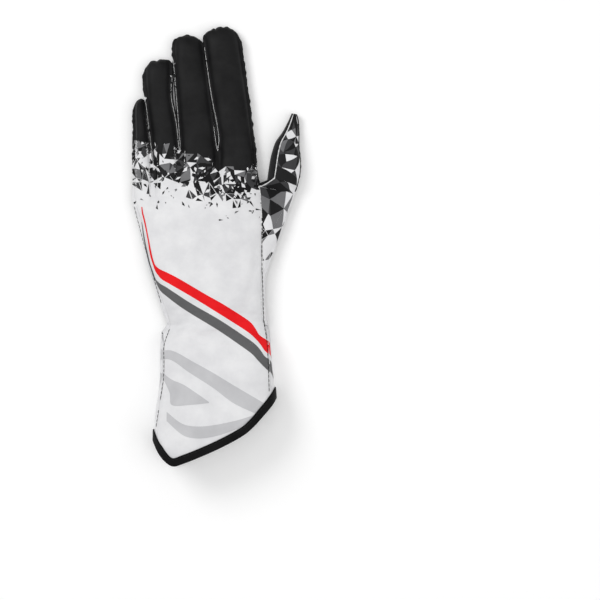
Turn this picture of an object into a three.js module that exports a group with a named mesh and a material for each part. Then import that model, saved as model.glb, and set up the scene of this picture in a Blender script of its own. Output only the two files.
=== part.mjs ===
// A left-hand karting glove with a long gauntlet cuff, lying palm down and slightly filled out.
// Millimetres. +X points to the thumb side, +Y to the fingertips, +Z from the palm to the back of the hand.
// The origin is the underside of the grip pad in the middle of the palm.
import * as THREE from "three";

// Fingers: width at the web, and length from the web to the end, each measured along +Y
const littleWidth = 15;
const ringWidth = 19;
const middleWidth = 27.4;
const indexWidth = 28;
const littleLength = 53;
const ringLength = 73;
const middleLength = 83;
const indexLength = 93.5;
const fingerHeight = 13;
const fingerSeamHeight = 9;

// Hand, wrist and cuff
const palmLength = 125;
const palmHeight = 25.5;
const sideSeamHeight = 5.8;
const wristWidth = 73;
const wristHeight = 26;
const cuffLength = 101;
const cuffWidth = 89.6;
const cuffHeight = 43;

// Thumb
const thumbWidth = 22.3;
const thumbLength = 49;
const thumbHeight = 15.5;
const thumbLean = 10.2;
const thumbGap = 6.6;

// Cloth, suede, grip pads and binding
const clothWall = 1.2;
const suedeWall = 1.2;
const gussetWall = 1.2;
const flangeWidth = 2.2;
const palmFlangeLift = 1.2;
const fingerGap = 0.7;
const padThickness = 0.9;
const padCorner = 1.2;
const padCornerShare = 0.4;
const bindingWall = 0.9;
const bindingWidth = 6;
const clearance = 0.3;
const gatherDepth = 1.3;
const gatherReach = 34;
const gathers = 7;

// Mesh fineness
const LOOP_POWER_TOP = 2.4;
const LOOP_POWER_LOW = 5;
const CUFF_STEPS = 30;
const THUMB_PALM_STEPS = 8;
const THUMB_BACK_STEPS = 6;

// Places worked out from the sizes
const handWidth = littleWidth + ringWidth + middleWidth + indexWidth;
const handLeft = -0.583 * handWidth;
const wristY = -0.516 * palmLength;
const low = padThickness + clearance;
const backSeamHeight = sideSeamHeight + clothWall + clearance / 2;
const palmSeamHeight = sideSeamHeight - suedeWall - clearance;

// The four fingers, from the little finger to the index finger. Left and right are the lengths at the two corners of
// the tip, and round is how far down each side the rounded end starts, all as shares of the finger's length.
const fingers = [
  { name: "little", left: 0.98, right: 1.0, roundLeft: 0.2, roundRight: 0.1 },
  { name: "ring", left: 1.06, right: 0.93, roundLeft: 0.19, roundRight: 0.08 },
  { name: "middle", left: 1.0, right: 1.01, roundLeft: 0.1, roundRight: 0.11 },
  { name: "index", left: 0.94, right: 1.03, roundLeft: 0.12, roundRight: 0.15 },
];
[fingers[0].width, fingers[0].length] = [littleWidth, littleLength];
[fingers[1].width, fingers[1].length] = [ringWidth, ringLength];
[fingers[2].width, fingers[2].length] = [middleWidth, middleLength];
[fingers[3].width, fingers[3].length] = [indexWidth, indexLength];

// The rounded end of a finger in plan, and where along the finger its height and its seams start to close on the tip
const tipPower = 2.3;
const tipArchFrom = 0.74;
const tipSeamFrom = 0.8;
const tipPalmFrom = 0.86;
const waistSpread = 0.22;
const waistStart = 0.1;
const gapStart = 0.06;
const webBlendShare = 0.24;

// The five lines that bound the fingers. Web is the height of the line's foot over the wrist as a share of the
// palm's length, lean is how far the line runs sideways for each millimetre upward, and waist is how far the finger
// on either side of the line draws in beside it, as a share of its width, centred at the share named at.
const bounds = [
  { web: 0.868, lean: 0.011, waistLeft: 0, waistRight: 0.02, at: 0.5 },
  { web: 0.885, lean: -0.122, waistLeft: 0, waistRight: 0, at: 0.3 },
  { web: 1.0, lean: -0.079, waistLeft: 0.13, waistRight: 0, at: 0.58 },
  { web: 1.0, lean: -0.1364, waistLeft: 0, waistRight: 0.055, at: 0.16 },
  { web: 0.956, lean: -0.14, waistLeft: -0.02, waistRight: 0, at: 0.5 },
];

// Sections across the hand and the cuff. Along is the share of the palm's or the cuff's length from the wrist, width
// is a share of the hand's or the cuff's width, centre of the hand's width, middle and top of the height there.
const handSections = [
  { along: 1.0, width: 1.018, centre: -0.078, top: 0.56 },
  { along: 0.868, width: 1.034, centre: -0.07, top: 0.68 },
  { along: 0.78, width: 1.068, centre: -0.061, top: 0.78 },
  { along: 0.692, width: 1.057, centre: -0.048, top: 0.86 },
  { along: 0.612, width: 1.027, centre: -0.027, top: 0.92 },
  { along: 0.476, width: 0.978, centre: -0.002, top: 0.98 },
  { along: 0.34, width: 0.947, centre: 0.015, top: 1.0 },
  { along: 0.196, width: 0.872, centre: 0.0425, top: 1.0 },
  { along: 0.076, width: 0.819, centre: 0.074, top: 0.98 },
];
const wristSection = { width: 1.0, centre: 0.1007, top: 1.0 };
const cuffSections = [
  { along: 0.054, width: 0.872, centre: 0.087, middle: 0.2, top: 0.66 },
  { along: 0.153, width: 0.9, centre: 0.088, middle: 0.27, top: 0.73 },
  { along: 0.4, width: 0.923, centre: 0.093, middle: 0.37, top: 0.87 },
  { along: 0.65, width: 0.972, centre: 0.09, middle: 0.44, top: 0.96 },
  { along: 1.0, width: 1.0, centre: 0.0895, middle: 0.49, top: 1.0 },
];

// The slanted edge of the cuff: across is the share from the little-finger side, down of the cuff's length. Its slant
// is read over a short reach to both sides, and is limited where the edge turns up at a side.
const slantReach = 0.03;
const slantLimit = 1.5;
const cuffEdge = [
  { across: 0.0, down: 0.83 },
  { across: 0.05, down: 0.918 },
  { across: 0.11, down: 0.977 },
  { across: 0.165, down: 1.0 },
  { across: 0.245, down: 0.98 },
  { across: 0.406, down: 0.923 },
  { across: 0.565, down: 0.859 },
  { across: 0.726, down: 0.782 },
  { across: 0.807, down: 0.725 },
  { across: 0.885, down: 0.653 },
  { across: 0.966, down: 0.575 },
  { across: 1.0, down: 0.531 },
];

// Folds and dents of the back. Across and along place the middle (along from the wrist as in the sections, negative
// on the cuff), turn is the direction of the fold in degrees from +X, and length, width and depth are shares of the
// hand's width. A negative depth is a ridge.
const folds = [
  { across: 0.5, along: -0.02, turn: 4, length: 0.6, width: 0.05, depth: 0.016 },
  { across: 0.1, along: -0.03, turn: 30, length: 0.16, width: 0.04, depth: 0.024 },
  { across: 0.12, along: -0.5, turn: 70, length: 0.2, width: 0.05, depth: 0.018 },
  { across: 0.78, along: -0.2, turn: -35, length: 0.25, width: 0.06, depth: 0.014 },
  { across: 0.55, along: 0.68, turn: 20, length: 0.3, width: 0.08, depth: -0.012 },
];

// Thumb sections from its foot to its tip: along its length, then shares of its width and height
const thumbSections = [
  { along: 0.0, width: 1.0, offset: 0.0, tilt: -8, height: 1.0 },
  { along: 0.17, width: 1.02, offset: 0.0, tilt: -3, height: 1.0 },
  { along: 0.34, width: 0.95, offset: -0.03, tilt: 0, height: 0.95 },
  { along: 0.54, width: 0.76, offset: -0.06, tilt: 0, height: 0.82 },
  { along: 0.7, width: 0.55, offset: -0.01, tilt: 0, height: 0.64 },
  { along: 0.86, width: 0.36, offset: 0.01, tilt: 0, height: 0.45 },
  { along: 1.0, width: 0.18, offset: 0.0, tilt: 0, height: 0.3 },
];
const thumbMiddle = 0.42;
const thumbTipLift = 0.14;
const thumbTipFrom = 0.8;
const thumbSeamShare = 0.22;
const thumbSeamGap = 1.3 * clearance;
const thumbFootLift = 1.5;

// Where the rows of the sheets lie, as shares of the stretch that they divide
const fingerRows = [0, 0.12, 0.3, 0.5, 0.68, 0.8, 0.9, 1];
const handRows = [0, 0.05, 0.1, 0.17, 0.25, 0.34, 0.45, 0.56, 0.68, 0.8, 0.9, 0.96, 1];
const gatherFadeSteps = 3;
const gatherEnd = [0.45, 0.85];
const cuffRows = [0, 0.04, 0.09, 0.18, 0.3, 0.45, 0.6, 0.75, 0.88, 0.96, 1];
const gussetRows = [0.02, 0.12, 0.3, 0.5, 0.68, 0.84];
const gussetBend = [-0.75, 0, 0.75];
const gussetDrop = 0.4;
const crotchShare = 0.145;
const crotchGap = 0.02;
const thenarEndShare = 0.7;
const thumbTurnRows = [0.3, 0.65];
const thumbTurnShare = 0.1;
const thumbFanRows = [0, 0.3, 0.65];
const thenarRows = [0, 0.2, 0.4, 0.6, 0.8, 1];
const sideRows = [0.8, 0.9, 0.96, 1];
const heelRows = [0.82, 0.92, 1];

// Grip pads. Finger and thumb pads are placed across and along their finger, palm pads as shares of the hand's
// width and the palm's length from the origin.
const fingerPads = [
  { name: "tip", outline: [[0.24, 0.72], [0.78, 0.66], [0.76, 0.82], [0.5, 0.87], [0.26, 0.83]] },
  { name: "middle", outline: [[0.22, 0.42], [0.78, 0.49], [0.78, 0.61], [0.24, 0.67]] },
  { name: "base", outline: [[0.22, 0.14], [0.78, 0.08], [0.78, 0.43], [0.22, 0.36]] },
];
const thumbPads = [
  { name: "tip", outline: [[0.28, 0.5], [0.74, 0.46], [0.72, 0.7], [0.5, 0.78], [0.3, 0.7]] },
  { name: "middle", outline: [[0.2, 0.02], [0.8, 0.06], [0.78, 0.4], [0.24, 0.43]] },
];
const palmPads = [
  {
    name: "centre",
    outline: [[-0.155, -0.064], [0, -0.12], [0.155, -0.064], [0.155, 0.064], [0, 0.12], [-0.155, 0.064]],
  },
  {
    name: "knuckle",
    outline: [
      [-0.49, 0.24], [-0.335, 0.19], [-0.055, 0.19], [0.22, 0.215], [0.37, 0.28], [0.36, 0.365], [0.3, 0.335],
      [0.22, 0.4], [0.065, 0.4], [-0.01, 0.335], [-0.09, 0.4], [-0.25, 0.36], [-0.325, 0.29], [-0.38, 0.335],
      [-0.47, 0.31],
    ],
  },
  { name: "little_side", outline: [[-0.43, -0.11], [-0.33, -0.1], [-0.27, 0.02], [-0.4, 0.145], [-0.5, 0.15]] },
  {
    name: "little_heel",
    outline: [[-0.335, -0.35], [-0.27, -0.43], [-0.13, -0.42], [-0.155, -0.255], [-0.29, -0.145], [-0.4, -0.16]],
  },
  { name: "thumb_heel", outline: [[0.11, -0.45], [0.38, -0.42], [0.335, -0.305], [0.2, -0.21], [0.09, -0.24]] },
  {
    name: "thumb_ball",
    outline: [[0.245, -0.175], [0.335, -0.24], [0.46, -0.11], [0.41, 0.03], [0.225, -0.03]],
  },
  { name: "thumb_side", outline: [[0.27, 0.03], [0.42, 0.07], [0.42, 0.21], [0.25, 0.145]] },
  { name: "thumb_base", outline: [[0.52, 0.06], [0.58, 0.1], [0.66, 0.23], [0.57, 0.25], [0.5, 0.18]] },
];

const lerp = (a, b, t) => a + (b - a) * t;
const mix = (p, q, t) => p.map((value, k) => lerp(value, q[k], t));
const smooth = (t) => {
  const s = Math.min(1, Math.max(0, t));
  return s * s * (3 - 2 * s);
};
const bump = (t) => Math.exp(-t * t);
const archShare = (side, power) => Math.pow(Math.max(0, 1 - Math.pow(Math.min(1, side), power)), 1 / power);

// A smooth curve through the rows of a table, read at one place
function curveAt(rows, x, key, value) {
  let k = 0;
  while (k < rows.length - 2 && x > rows[k + 1][key]) k += 1;
  const [a, b] = [rows[k], rows[k + 1]];
  const before = rows[Math.max(0, k - 1)];
  const after = rows[Math.min(rows.length - 1, k + 2)];
  const span = b[key] - a[key];
  const t = Math.min(1, Math.max(0, (x - a[key]) / span));
  const slopeA = ((b[value] - before[value]) / (b[key] - before[key])) * span;
  const slopeB = ((after[value] - a[value]) / (after[key] - a[key])) * span;
  const [t2, t3] = [t * t, t * t * t];
  const fromA = a[value] * (2 * t3 - 3 * t2 + 1) + slopeA * (t3 - 2 * t2 + t);
  const fromB = b[value] * (3 * t2 - 2 * t3) + slopeB * (t3 - t2);
  return fromA + fromB;
}

// All sections with their real sizes, sorted from the cuff's end up to the web
const stations = [
  ...cuffSections
    .map((row) => ({
      y: wristY - row.along * cuffLength,
      width: row.width * cuffWidth,
      centre: row.centre * handWidth,
      middle: low + row.middle * cuffHeight,
      top: row.top * cuffHeight,
    }))
    .reverse(),
  {
    y: wristY,
    width: wristSection.width * wristWidth,
    centre: wristSection.centre * handWidth,
    middle: sideSeamHeight + low,
    top: wristSection.top * wristHeight,
  },
  ...handSections
    .map((row) => ({
      y: wristY + row.along * palmLength,
      width: row.width * handWidth,
      centre: row.centre * handWidth,
      middle: sideSeamHeight,
      top: row.top * palmHeight,
    }))
    .reverse(),
];

function sectionAt(y) {
  const at = (value) => curveAt(stations, y, "y", value);
  const [width, centre] = [at("width"), at("centre")];
  return {
    left: [centre - width / 2, y],
    right: [centre + width / 2, y],
    low,
    middle: at("middle"),
    top: at("top"),
  };
}

const lerpX = (section, share) => lerp(section.left[0], section.right[0], share);

// A point on a section's loop. Turn 0 is its left side, 0.25 the top, 0.5 the right side and 0.75 the underside.
function loopPoint(section, turn) {
  const [c, s] = [Math.cos(2 * Math.PI * turn), Math.sin(2 * Math.PI * turn)];
  const power = 2 / (s >= 0 ? LOOP_POWER_TOP : LOOP_POWER_LOW);
  const share = 0.5 - 0.5 * Math.sign(c) * Math.pow(Math.abs(c), power);
  const rise = Math.pow(Math.abs(s), power);
  const z =
    s >= 0
      ? section.middle + (section.top - section.middle) * rise
      : section.middle - (section.middle - section.low) * rise;
  return [...mix(section.left, section.right, share), z];
}

// The turn on the upper half of a loop that lies at a share of its width
function turnAt(share) {
  const side = 1 - 2 * share;
  const c = Math.sign(side) * Math.pow(Math.abs(side), LOOP_POWER_TOP / 2);
  return Math.acos(c) / (2 * Math.PI);
}

// The back panel ends short of the section's sides by these shares: on the left on the cuff only, where the seam
// moves up from the side over a short reach below the wrist, and on the right all the way
const seamInset = 0.034;
const thumbSeamInset = 0.032;
const cuffSeamReach = 15;
const cuffSeamGap = 1.6 * clearance;
const cuffLap = 1.2 * clothWall;
const rightSeamShare = 1 - thumbSeamInset;
const leftSeamShare = (y) => seamInset * cuffBlend(y);
const cuffBlend = (y) => smooth((wristY - y) / cuffSeamReach);
const sectionWidth = (y) => curveAt(stations, y, "y", "width");
const flangeFlat = (y) => (flangeWidth / sectionWidth(y)) * (1 - cuffBlend(y));

// The cuff's edge in +Y, the slant of it, and where the cloth ends inside the binding
const edgeY = (share) => wristY - cuffLength * curveAt(cuffEdge, share, "across", "down");
function edgeSlant(share) {
  const [from, to] = [Math.max(0, share - slantReach), Math.min(1, share + slantReach)];
  return Math.min(slantLimit, Math.hypot(1, (edgeY(to) - edgeY(from)) / ((to - from) * cuffWidth)));
}
const clothEnd = (share) => edgeY(share) + (bindingWall + clearance) * edgeSlant(share);

// Finger bounds in plan. Base x is the sum of the widths of the fingers before it.
const boundBase = bounds.map((bound, k) => {
  const before = fingers.slice(0, k).reduce((sum, finger) => sum + finger.width, 0);
  return [handLeft + before, wristY + bound.web * palmLength];
});

// A point of a finger in plan: u across from its little-finger side, t from the web to the rounded end
function fingerPlan(k, u, t) {
  const finger = fingers[k];
  const round = u < 0.5 ? finger.roundLeft : finger.roundRight;
  const reach = t * (1 - round * (1 - archShare(Math.abs(2 * u - 1), tipPower)));
  const edge = (side) => {
    const bound = bounds[k + side];
    const [x, y] = boundBase[k + side];
    const rise = finger.length * (side ? finger.right : finger.left) * reach;
    const inward = side ? -1 : 1;
    const draw = (side ? bound.waistLeft : bound.waistRight) * bump((reach - bound.at) / waistSpread);
    const waist = draw * finger.width * smooth(reach / waistStart);
    const inner = k + side > 0 && k + side < fingers.length;
    const gap = inner ? (fingerGap / 2) * smooth(reach / gapStart) : 0;
    return [x + bound.lean * rise + inward * (waist + gap), y + rise];
  };
  return mix(edge(0), edge(1), u);
}

const isOuter = (k, u) => (k === 0 && u < 0.5) || (k === fingers.length - 1 && u > 0.5);
const fingerClose = (t) => smooth((t - tipSeamFrom) / (1 - tipSeamFrom));
const flangeShare = (k) => flangeWidth / fingers[k].width;

// Outer height of the back's edge and of the palm's edge beside a finger. At the outer sides and round the tip the
// two are sewn to each other, and between the fingers a gusset stands between them.
const backEdgeHeight = (k, u, t) =>
  lerp(isOuter(k, u) ? backSeamHeight : fingerSeamHeight, backSeamHeight, fingerClose(t));
const palmEdgeHeight = (k, u, t) =>
  lerp(isOuter(k, u) ? palmSeamHeight : low + palmFlangeLift, palmSeamHeight, fingerClose(t));

// Share of the full arch of a finger's section at u; its edges stay flat as wide as the seam's flange
const fingerArch = (k, u, power) => archShare(Math.abs(2 * u - 1) / (1 - 2 * flangeShare(k)), power);

function backFinger(k, u, t) {
  const base = lerp(backEdgeHeight(k, 0, t), backEdgeHeight(k, 1, t), u);
  const closing = archShare(Math.max(0, (t - tipArchFrom) / (1 - tipArchFrom)), 2);
  const z = base + (fingerHeight - base) * fingerArch(k, u, LOOP_POWER_TOP) * closing;
  return [...fingerPlan(k, u, t), z];
}

function palmFinger(k, u, t) {
  const edge = palmEdgeHeight(k, u, t);
  const tip = smooth((t - tipPalmFrom) / (1 - tipPalmFrom));
  const side = 1 - fingerArch(k, u, LOOP_POWER_LOW);
  return [...fingerPlan(k, u, t), lerp(low, edge, Math.max(side, tip))];
}

// The columns of the sheets: each finger has its two flanges and four strips between them
const columns = [];
fingers.forEach((finger, k) => {
  const flange = flangeShare(k);
  const inner = [flange, 0.25 + flange / 4, 0.5, 0.75 - flange / 4, 1 - flange];
  const shares = k === fingers.length - 1 ? [0, ...inner, 1] : [0, ...inner];
  for (const u of shares) {
    columns.push({ k, u, across: (boundBase[k][0] + u * finger.width - handLeft) / handWidth });
  }
});

// The back from the web line (row 0) to the wrist (row 1) and on to the cuff's edge (row 2)
function backPoint(column, row) {
  const [foot, footShare] = [backFinger(column.k, column.u, 0), column.across];
  const end = clothEnd(lerp(seamInset, rightSeamShare, footShare));
  const y = row <= 1 ? lerp(foot[1], wristY, row) : lerp(wristY, end, row - 1);
  const share = lerp(leftSeamShare(y), rightSeamShare, footShare);
  const section = sectionAt(y);
  const flat = flangeFlat(y);
  const base = lerp(backSeamHeight, section.middle, cuffBlend(y));
  const arch = loopPoint({ ...section, middle: base }, turnAt(Math.max(0, (share - flat) / (1 - flat))));
  const z = arch[2] - foldDepth(lerpX(section, share), y);
  const blend = smooth((foot[1] - y) / (webBlendShare * palmLength));
  return [lerp(foot[0], lerpX(section, share), blend), y, lerp(foot[2], z, blend)];
}

function foldDepth(x, y) {
  let sum = 0;
  for (const fold of folds) {
    const along = fold.along * (fold.along < 0 ? cuffLength : palmLength);
    const section = sectionAt(wristY + along);
    const [dx, dy] = [x - lerpX(section, fold.across), y - wristY - along];
    const [c, s] = [Math.cos((fold.turn * Math.PI) / 180), Math.sin((fold.turn * Math.PI) / 180)];
    const [length, width] = [fold.length * handWidth, fold.width * handWidth];
    sum += fold.depth * handWidth * bump((dx * c + dy * s) / length) * bump((dy * c - dx * s) / width);
  }
  return sum;
}

// A sheet: an outer face gathered from grids that share their common points, then thickened inward and closed
class Sheet {
  constructor() {
    this.points = [];
    this.faces = [];
    this.found = new Map();
  }

  place(point) {
    const key = point.map((value) => Math.round(value * 1e4)).join(",");
    if (!this.found.has(key)) {
      this.found.set(key, this.points.length);
      this.points.push(new THREE.Vector3(...point));
    }
    return this.found.get(key);
  }

  // rows of points; the outer side is on the left hand of a walker who goes along a row and sees the next row ahead
  grid(rows) {
    const ids = rows.map((row) => row.map((point) => this.place(point)));
    for (let j = 0; j + 1 < ids.length; j += 1) {
      for (let i = 0; i + 1 < ids[j].length; i += 1) {
        const [a, b, c, d] = [ids[j][i], ids[j][i + 1], ids[j + 1][i + 1], ids[j + 1][i]];
        if (a !== b && b !== c && c !== a) this.faces.push([a, b, c]);
        if (a !== c && c !== d && d !== a) this.faces.push([a, c, d]);
      }
    }
  }

  solid(wall) {
    const normals = this.points.map(() => new THREE.Vector3());
    for (const [a, b, c] of this.faces) {
      const [p, q, r] = [this.points[a], this.points[b], this.points[c]];
      const normal = q.clone().sub(p).cross(r.clone().sub(p));
      for (const id of [a, b, c]) normals[id].add(normal);
    }
    const count = this.points.length;
    const inner = this.points.map((point, k) => point.clone().addScaledVector(normals[k].normalize(), -wall));
    const faces = [...this.faces, ...this.faces.map(([a, b, c]) => [c + count, b + count, a + count])];
    const edges = new Set(this.faces.flatMap(([a, b, c]) => [`${a},${b}`, `${b},${c}`, `${c},${a}`]));
    for (const edge of edges) {
      const [a, b] = edge.split(",").map(Number);
      if (!edges.has(`${b},${a}`)) faces.push([b, a, a + count], [b, a + count, b + count]);
    }
    return meshData([...this.points, ...inner], faces);
  }
}

function meshData(points, faces) {
  const geometry = new THREE.BufferGeometry();
  geometry.setAttribute("position", new THREE.Float32BufferAttribute(points.flatMap((p) => [p.x, p.y, p.z]), 3));
  geometry.setIndex(faces.flat());
  geometry.computeVertexNormals();
  return geometry;
}

// A bar lofted through rings of corner points; it ends in flat caps, or runs round and closes on itself
function loft(rings, closed) {
  const size = rings[0].length;
  const points = rings.flat().map((point) => new THREE.Vector3(...point));
  const faces = [];
  const spans = closed ? rings.length : rings.length - 1;
  for (let j = 0; j < spans; j += 1) {
    const next = (j + 1) % rings.length;
    for (let i = 0; i < size; i += 1) {
      const [a, b] = [j * size + i, j * size + ((i + 1) % size)];
      const [c, d] = [next * size + ((i + 1) % size), next * size + i];
      faces.push([a, b, c], [a, c, d]);
    }
  }
  if (!closed) {
    const last = (rings.length - 1) * size;
    for (let i = 1; i + 1 < size; i += 1) {
      faces.push([0, i + 1, i], [last, last + i, last + i + 1]);
    }
  }
  return meshData(points, faces);
}

// Back panel: the printed cloth from the fingertips to the cuff's edge
function backPanel() {
  const sheet = new Sheet();
  fingers.forEach((finger, k) => {
    const inner = columns.filter((column) => column.k === k).map((column) => column.u);
    const across = k === fingers.length - 1 ? inner : [...inner, 1];
    sheet.grid(fingerRows.map((t) => across.map((u) => backFinger(k, u, t))));
  });
  const rows = [...handRows, ...cuffRows.slice(1).map((row) => row + 1)];
  sheet.grid([...rows].reverse().map((row) => columns.map((column) => backPoint(column, row))));
  return sheet.solid(clothWall);
}

// The thumb: its foot beside the hand, its sections, and the outline that the palm and the back of it share
const lastColumn = columns[columns.length - 1];
const crotch = backPoint(lastColumn, crotchShare);
const thenarEnd = backPoint(lastColumn, thenarEndShare);
const axis = (90 - thumbLean) * (Math.PI / 180);
const thumbFoot = [crotch[0] + thumbGap + thumbWidth / 2, crotch[1] + thumbFootLift];

const thumbOvals = thumbSections.map((row) => {
  const along = row.along * thumbLength;
  const aside = row.offset * thumbWidth;
  const centre = [
    thumbFoot[0] + along * Math.cos(axis) + aside * Math.sin(axis),
    thumbFoot[1] + along * Math.sin(axis) - aside * Math.cos(axis),
  ];
  const across = axis - Math.PI / 2 + (row.tilt * Math.PI) / 180;
  const half = (row.width * thumbWidth) / 2;
  const [dx, dy] = [half * Math.cos(across), half * Math.sin(across)];
  const height = row.height * (thumbHeight - low);
  const lift = thumbTipLift * (thumbHeight - low);
  const underside = low + lift * smooth((row.along - thumbTipFrom) / (1 - thumbTipFrom));
  return {
    left: [centre[0] - dx, centre[1] - dy],
    right: [centre[0] + dx, centre[1] + dy],
    low: underside,
    middle: underside + thumbMiddle * height,
    top: underside + height,
  };
});

// The gap between the thumb's two pieces as a turn of the section
function turnGap(oval) {
  return thumbSeamGap / Math.hypot(oval.right[0] - oval.left[0], oval.right[1] - oval.left[1]);
}

// The palm's side of a thumb section, from the seam on top, round the left side and the underside, to the right seam
function thumbPalmArc(oval) {
  const start = turnAt(thumbSeamShare) - turnGap(oval) / 2;
  const end = -0.5 + turnGap(oval) / 2;
  const points = [];
  for (let i = 0; i <= THUMB_PALM_STEPS; i += 1) {
    points.push(loopPoint(oval, lerp(start, end, i / THUMB_PALM_STEPS)));
  }
  return points;
}

// The printed side of a thumb section, from the seam on top over to the right seam
function thumbBackArc(oval) {
  const start = turnAt(thumbSeamShare) + turnGap(oval) / 2;
  const end = 0.5 - turnGap(oval) / 2;
  const points = [];
  for (let i = 0; i <= THUMB_BACK_STEPS; i += 1) {
    points.push(loopPoint(oval, lerp(start, end, i / THUMB_BACK_STEPS)));
  }
  return points;
}

// Palm rows: to the thumb's crotch, on to the end of the ball of the thumb, and to the hem at the wrist
const palmRows = [0, crotchShare / 2];
for (let i = 0; i <= THUMB_PALM_STEPS; i += 1) {
  palmRows.push(lerp(crotchShare, thenarEndShare, i / THUMB_PALM_STEPS));
}
palmRows.push(...heelRows);

// The palm's sheet between the web line and the hem. Its right side runs on into the thumb from the crotch to the
// end of the ball of the thumb, and above that it follows the back panel's edge.
function palmPoint(column, row) {
  const foot = palmFinger(column.k, column.u, 0);
  const y = lerp(foot[1], wristY, row);
  const section = sectionAt(y);
  const blend = smooth((foot[1] - y) / (webBlendShare * palmLength));
  const x = lerp(foot[0], lerpX(section, column.across), blend);
  const flat = (2 * flangeWidth) / (section.right[0] - section.left[0]);
  const [overThumb, underThumb] = [row <= crotchShare, row >= thenarEndShare];
  const toThumb = column.across > 0.5 && !overThumb && !underThumb;
  const rise = toThumb ? 0 : 1 - archShare(Math.abs(2 * column.across - 1) / (1 - flat), LOOP_POWER_LOW);
  const onIndexSide = column === lastColumn && overThumb;
  const seamDrop = backSeamHeight - palmSeamHeight;
  const edge = onIndexSide ? backPoint(lastColumn, row)[2] - seamDrop : palmSeamHeight;
  return [x, y, lerp(foot[2], lerp(low, edge, rise), onIndexSide && row > 0 ? 1 : blend)];
}

function palmPanel() {
  const sheet = new Sheet();
  fingers.forEach((finger, k) => {
    const inner = columns.filter((column) => column.k === k).map((column) => column.u);
    const across = k === fingers.length - 1 ? inner : [...inner, 1];
    sheet.grid(fingerRows.map((t) => [...across].reverse().map((u) => palmFinger(k, u, t))));
  });
  const hand = palmRows.map((row) => [...columns].reverse().map((column) => palmPoint(column, row)));
  sheet.grid([...hand].reverse());
  const firstRow = palmRows.indexOf(crotchShare);
  const side = hand.slice(firstRow, firstRow + THUMB_PALM_STEPS + 1).map((row) => row[0]);
  const foot = thumbPalmArc(thumbOvals[0]);
  const fan = thumbFanRows.map((t) => side.map((point, i) => mix(point, foot[i], t)));
  sheet.grid([...fan, ...thumbOvals.map(thumbPalmArc)].map((row) => [...row].reverse()));
  return sheet.solid(suedeWall);
}

// Thumb back: the printed piece over the thumb, which runs on as the hand's side to the wrist
function thumbBack() {
  const foot = thumbBackArc(thumbOvals[0]);
  const quarter = (from, to) =>
    foot.map((_, i) => {
      const angle = (Math.PI / 2) * (i / THUMB_BACK_STEPS);
      const reach = Math.sin(angle);
      return [lerp(from[0], to[0], reach), lerp(from[1], to[1], reach), lerp(to[2], from[2], Math.cos(angle))];
    });
  const seam = (row) => {
    const [edge, beside] = [backPoint(lastColumn, row), backPoint(columns[columns.length - 2], row)];
    const way = new THREE.Vector3(...edge).sub(new THREE.Vector3(...beside)).normalize();
    return edge.map((value, k) => value + way.getComponent(k) * 2 * clearance);
  };
  const palmEdge = (row) => [...palmPoint(lastColumn, row).slice(0, 2), backSeamHeight];
  const [footEnd, sideEnd] = [foot[THUMB_BACK_STEPS], palmEdge(thenarEndShare)];
  const rows = thumbOvals.map(thumbBackArc).reverse();
  for (const t of thumbTurnRows) {
    const from = mix(foot[0], seam(crotchShare + crotchGap), t);
    const to = mix(footEnd, sideEnd, t * thumbTurnShare);
    const straight = quarter([from[0], from[1] - clothWall, from[2]], to);
    rows.push(foot.map((point, i) => mix(point, straight[i], smooth(2 * t))));
  }
  for (const t of thenarRows) {
    const share = lerp(thumbTurnShare, 1, t);
    rows.push(quarter(seam(lerp(crotchShare + crotchGap, thenarEndShare, t)), mix(footEnd, sideEnd, share)));
  }
  for (const row of sideRows) rows.push(quarter(seam(row), palmEdge(row)));
  const sheet = new Sheet();
  sheet.grid(rows.reverse());
  return sheet.solid(clothWall);
}

// A gusset: one strip down the side of a finger, round the web and up the side of the next
function gusset(k) {
  const inset = (flangeWidth - gussetWall) / 2 + gussetWall / 2;
  const side = (finger, u, t) => {
    const [x, y] = fingerPlan(finger, u, t);
    return {
      at: [x + (u ? -inset : inset), y],
      top: backEdgeHeight(finger, u, t) - clothWall - clearance,
      bottom: palmEdgeHeight(finger, u, t) + suedeWall + clearance,
    };
  };
  const down = [...gussetRows].reverse().map((t) => side(k, 1, t));
  const up = gussetRows.map((t) => side(k + 1, 0, t));
  const web = boundBase[k + 1];
  const bend = gussetBend.map((angle) => ({
    ...up[0],
    at: [web[0] + inset * Math.sin(angle), web[1] - inset * (gussetDrop + Math.cos(angle))],
  }));
  const path = [...down, ...bend, ...up];
  const rings = path.map(({ at, top, bottom }, j) => {
    const before = path[Math.max(0, j - 1)].at;
    const after = path[Math.min(path.length - 1, j + 1)].at;
    const length = Math.hypot(after[0] - before[0], after[1] - before[1]);
    const half = gussetWall / 2 / length;
    const [nx, ny] = [(after[1] - before[1]) * half, (before[0] - after[0]) * half];
    return [
      [at[0] + nx, at[1] + ny, bottom],
      [at[0] - nx, at[1] - ny, bottom],
      [at[0] - nx, at[1] - ny, top],
      [at[0] + nx, at[1] + ny, top],
    ];
  });
  return loft(rings, false);
}

// The share of a loop's width at a turn
function shareAt(turn) {
  const c = Math.cos(2 * Math.PI * turn);
  const power = Math.sin(2 * Math.PI * turn) >= 0 ? LOOP_POWER_TOP : LOOP_POWER_LOW;
  return 0.5 - 0.5 * Math.sign(c) * Math.pow(Math.abs(c), 2 / power);
}

// The turns at which the palm side of the cuff starts, on the right, and ends, on the left, at a place along the cuff
function cuffTurns(y) {
  const gap = cuffSeamGap / sectionWidth(y);
  const lap = (cuffLap * (1 - cuffBlend(y))) / sectionWidth(y);
  const flat = flangeFlat(y);
  const left = turnAt(Math.max(0, (leftSeamShare(y) - flat) / (1 - flat)));
  return [turnAt(rightSeamShare) + gap, 1 + left - gap - lap];
}

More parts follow.
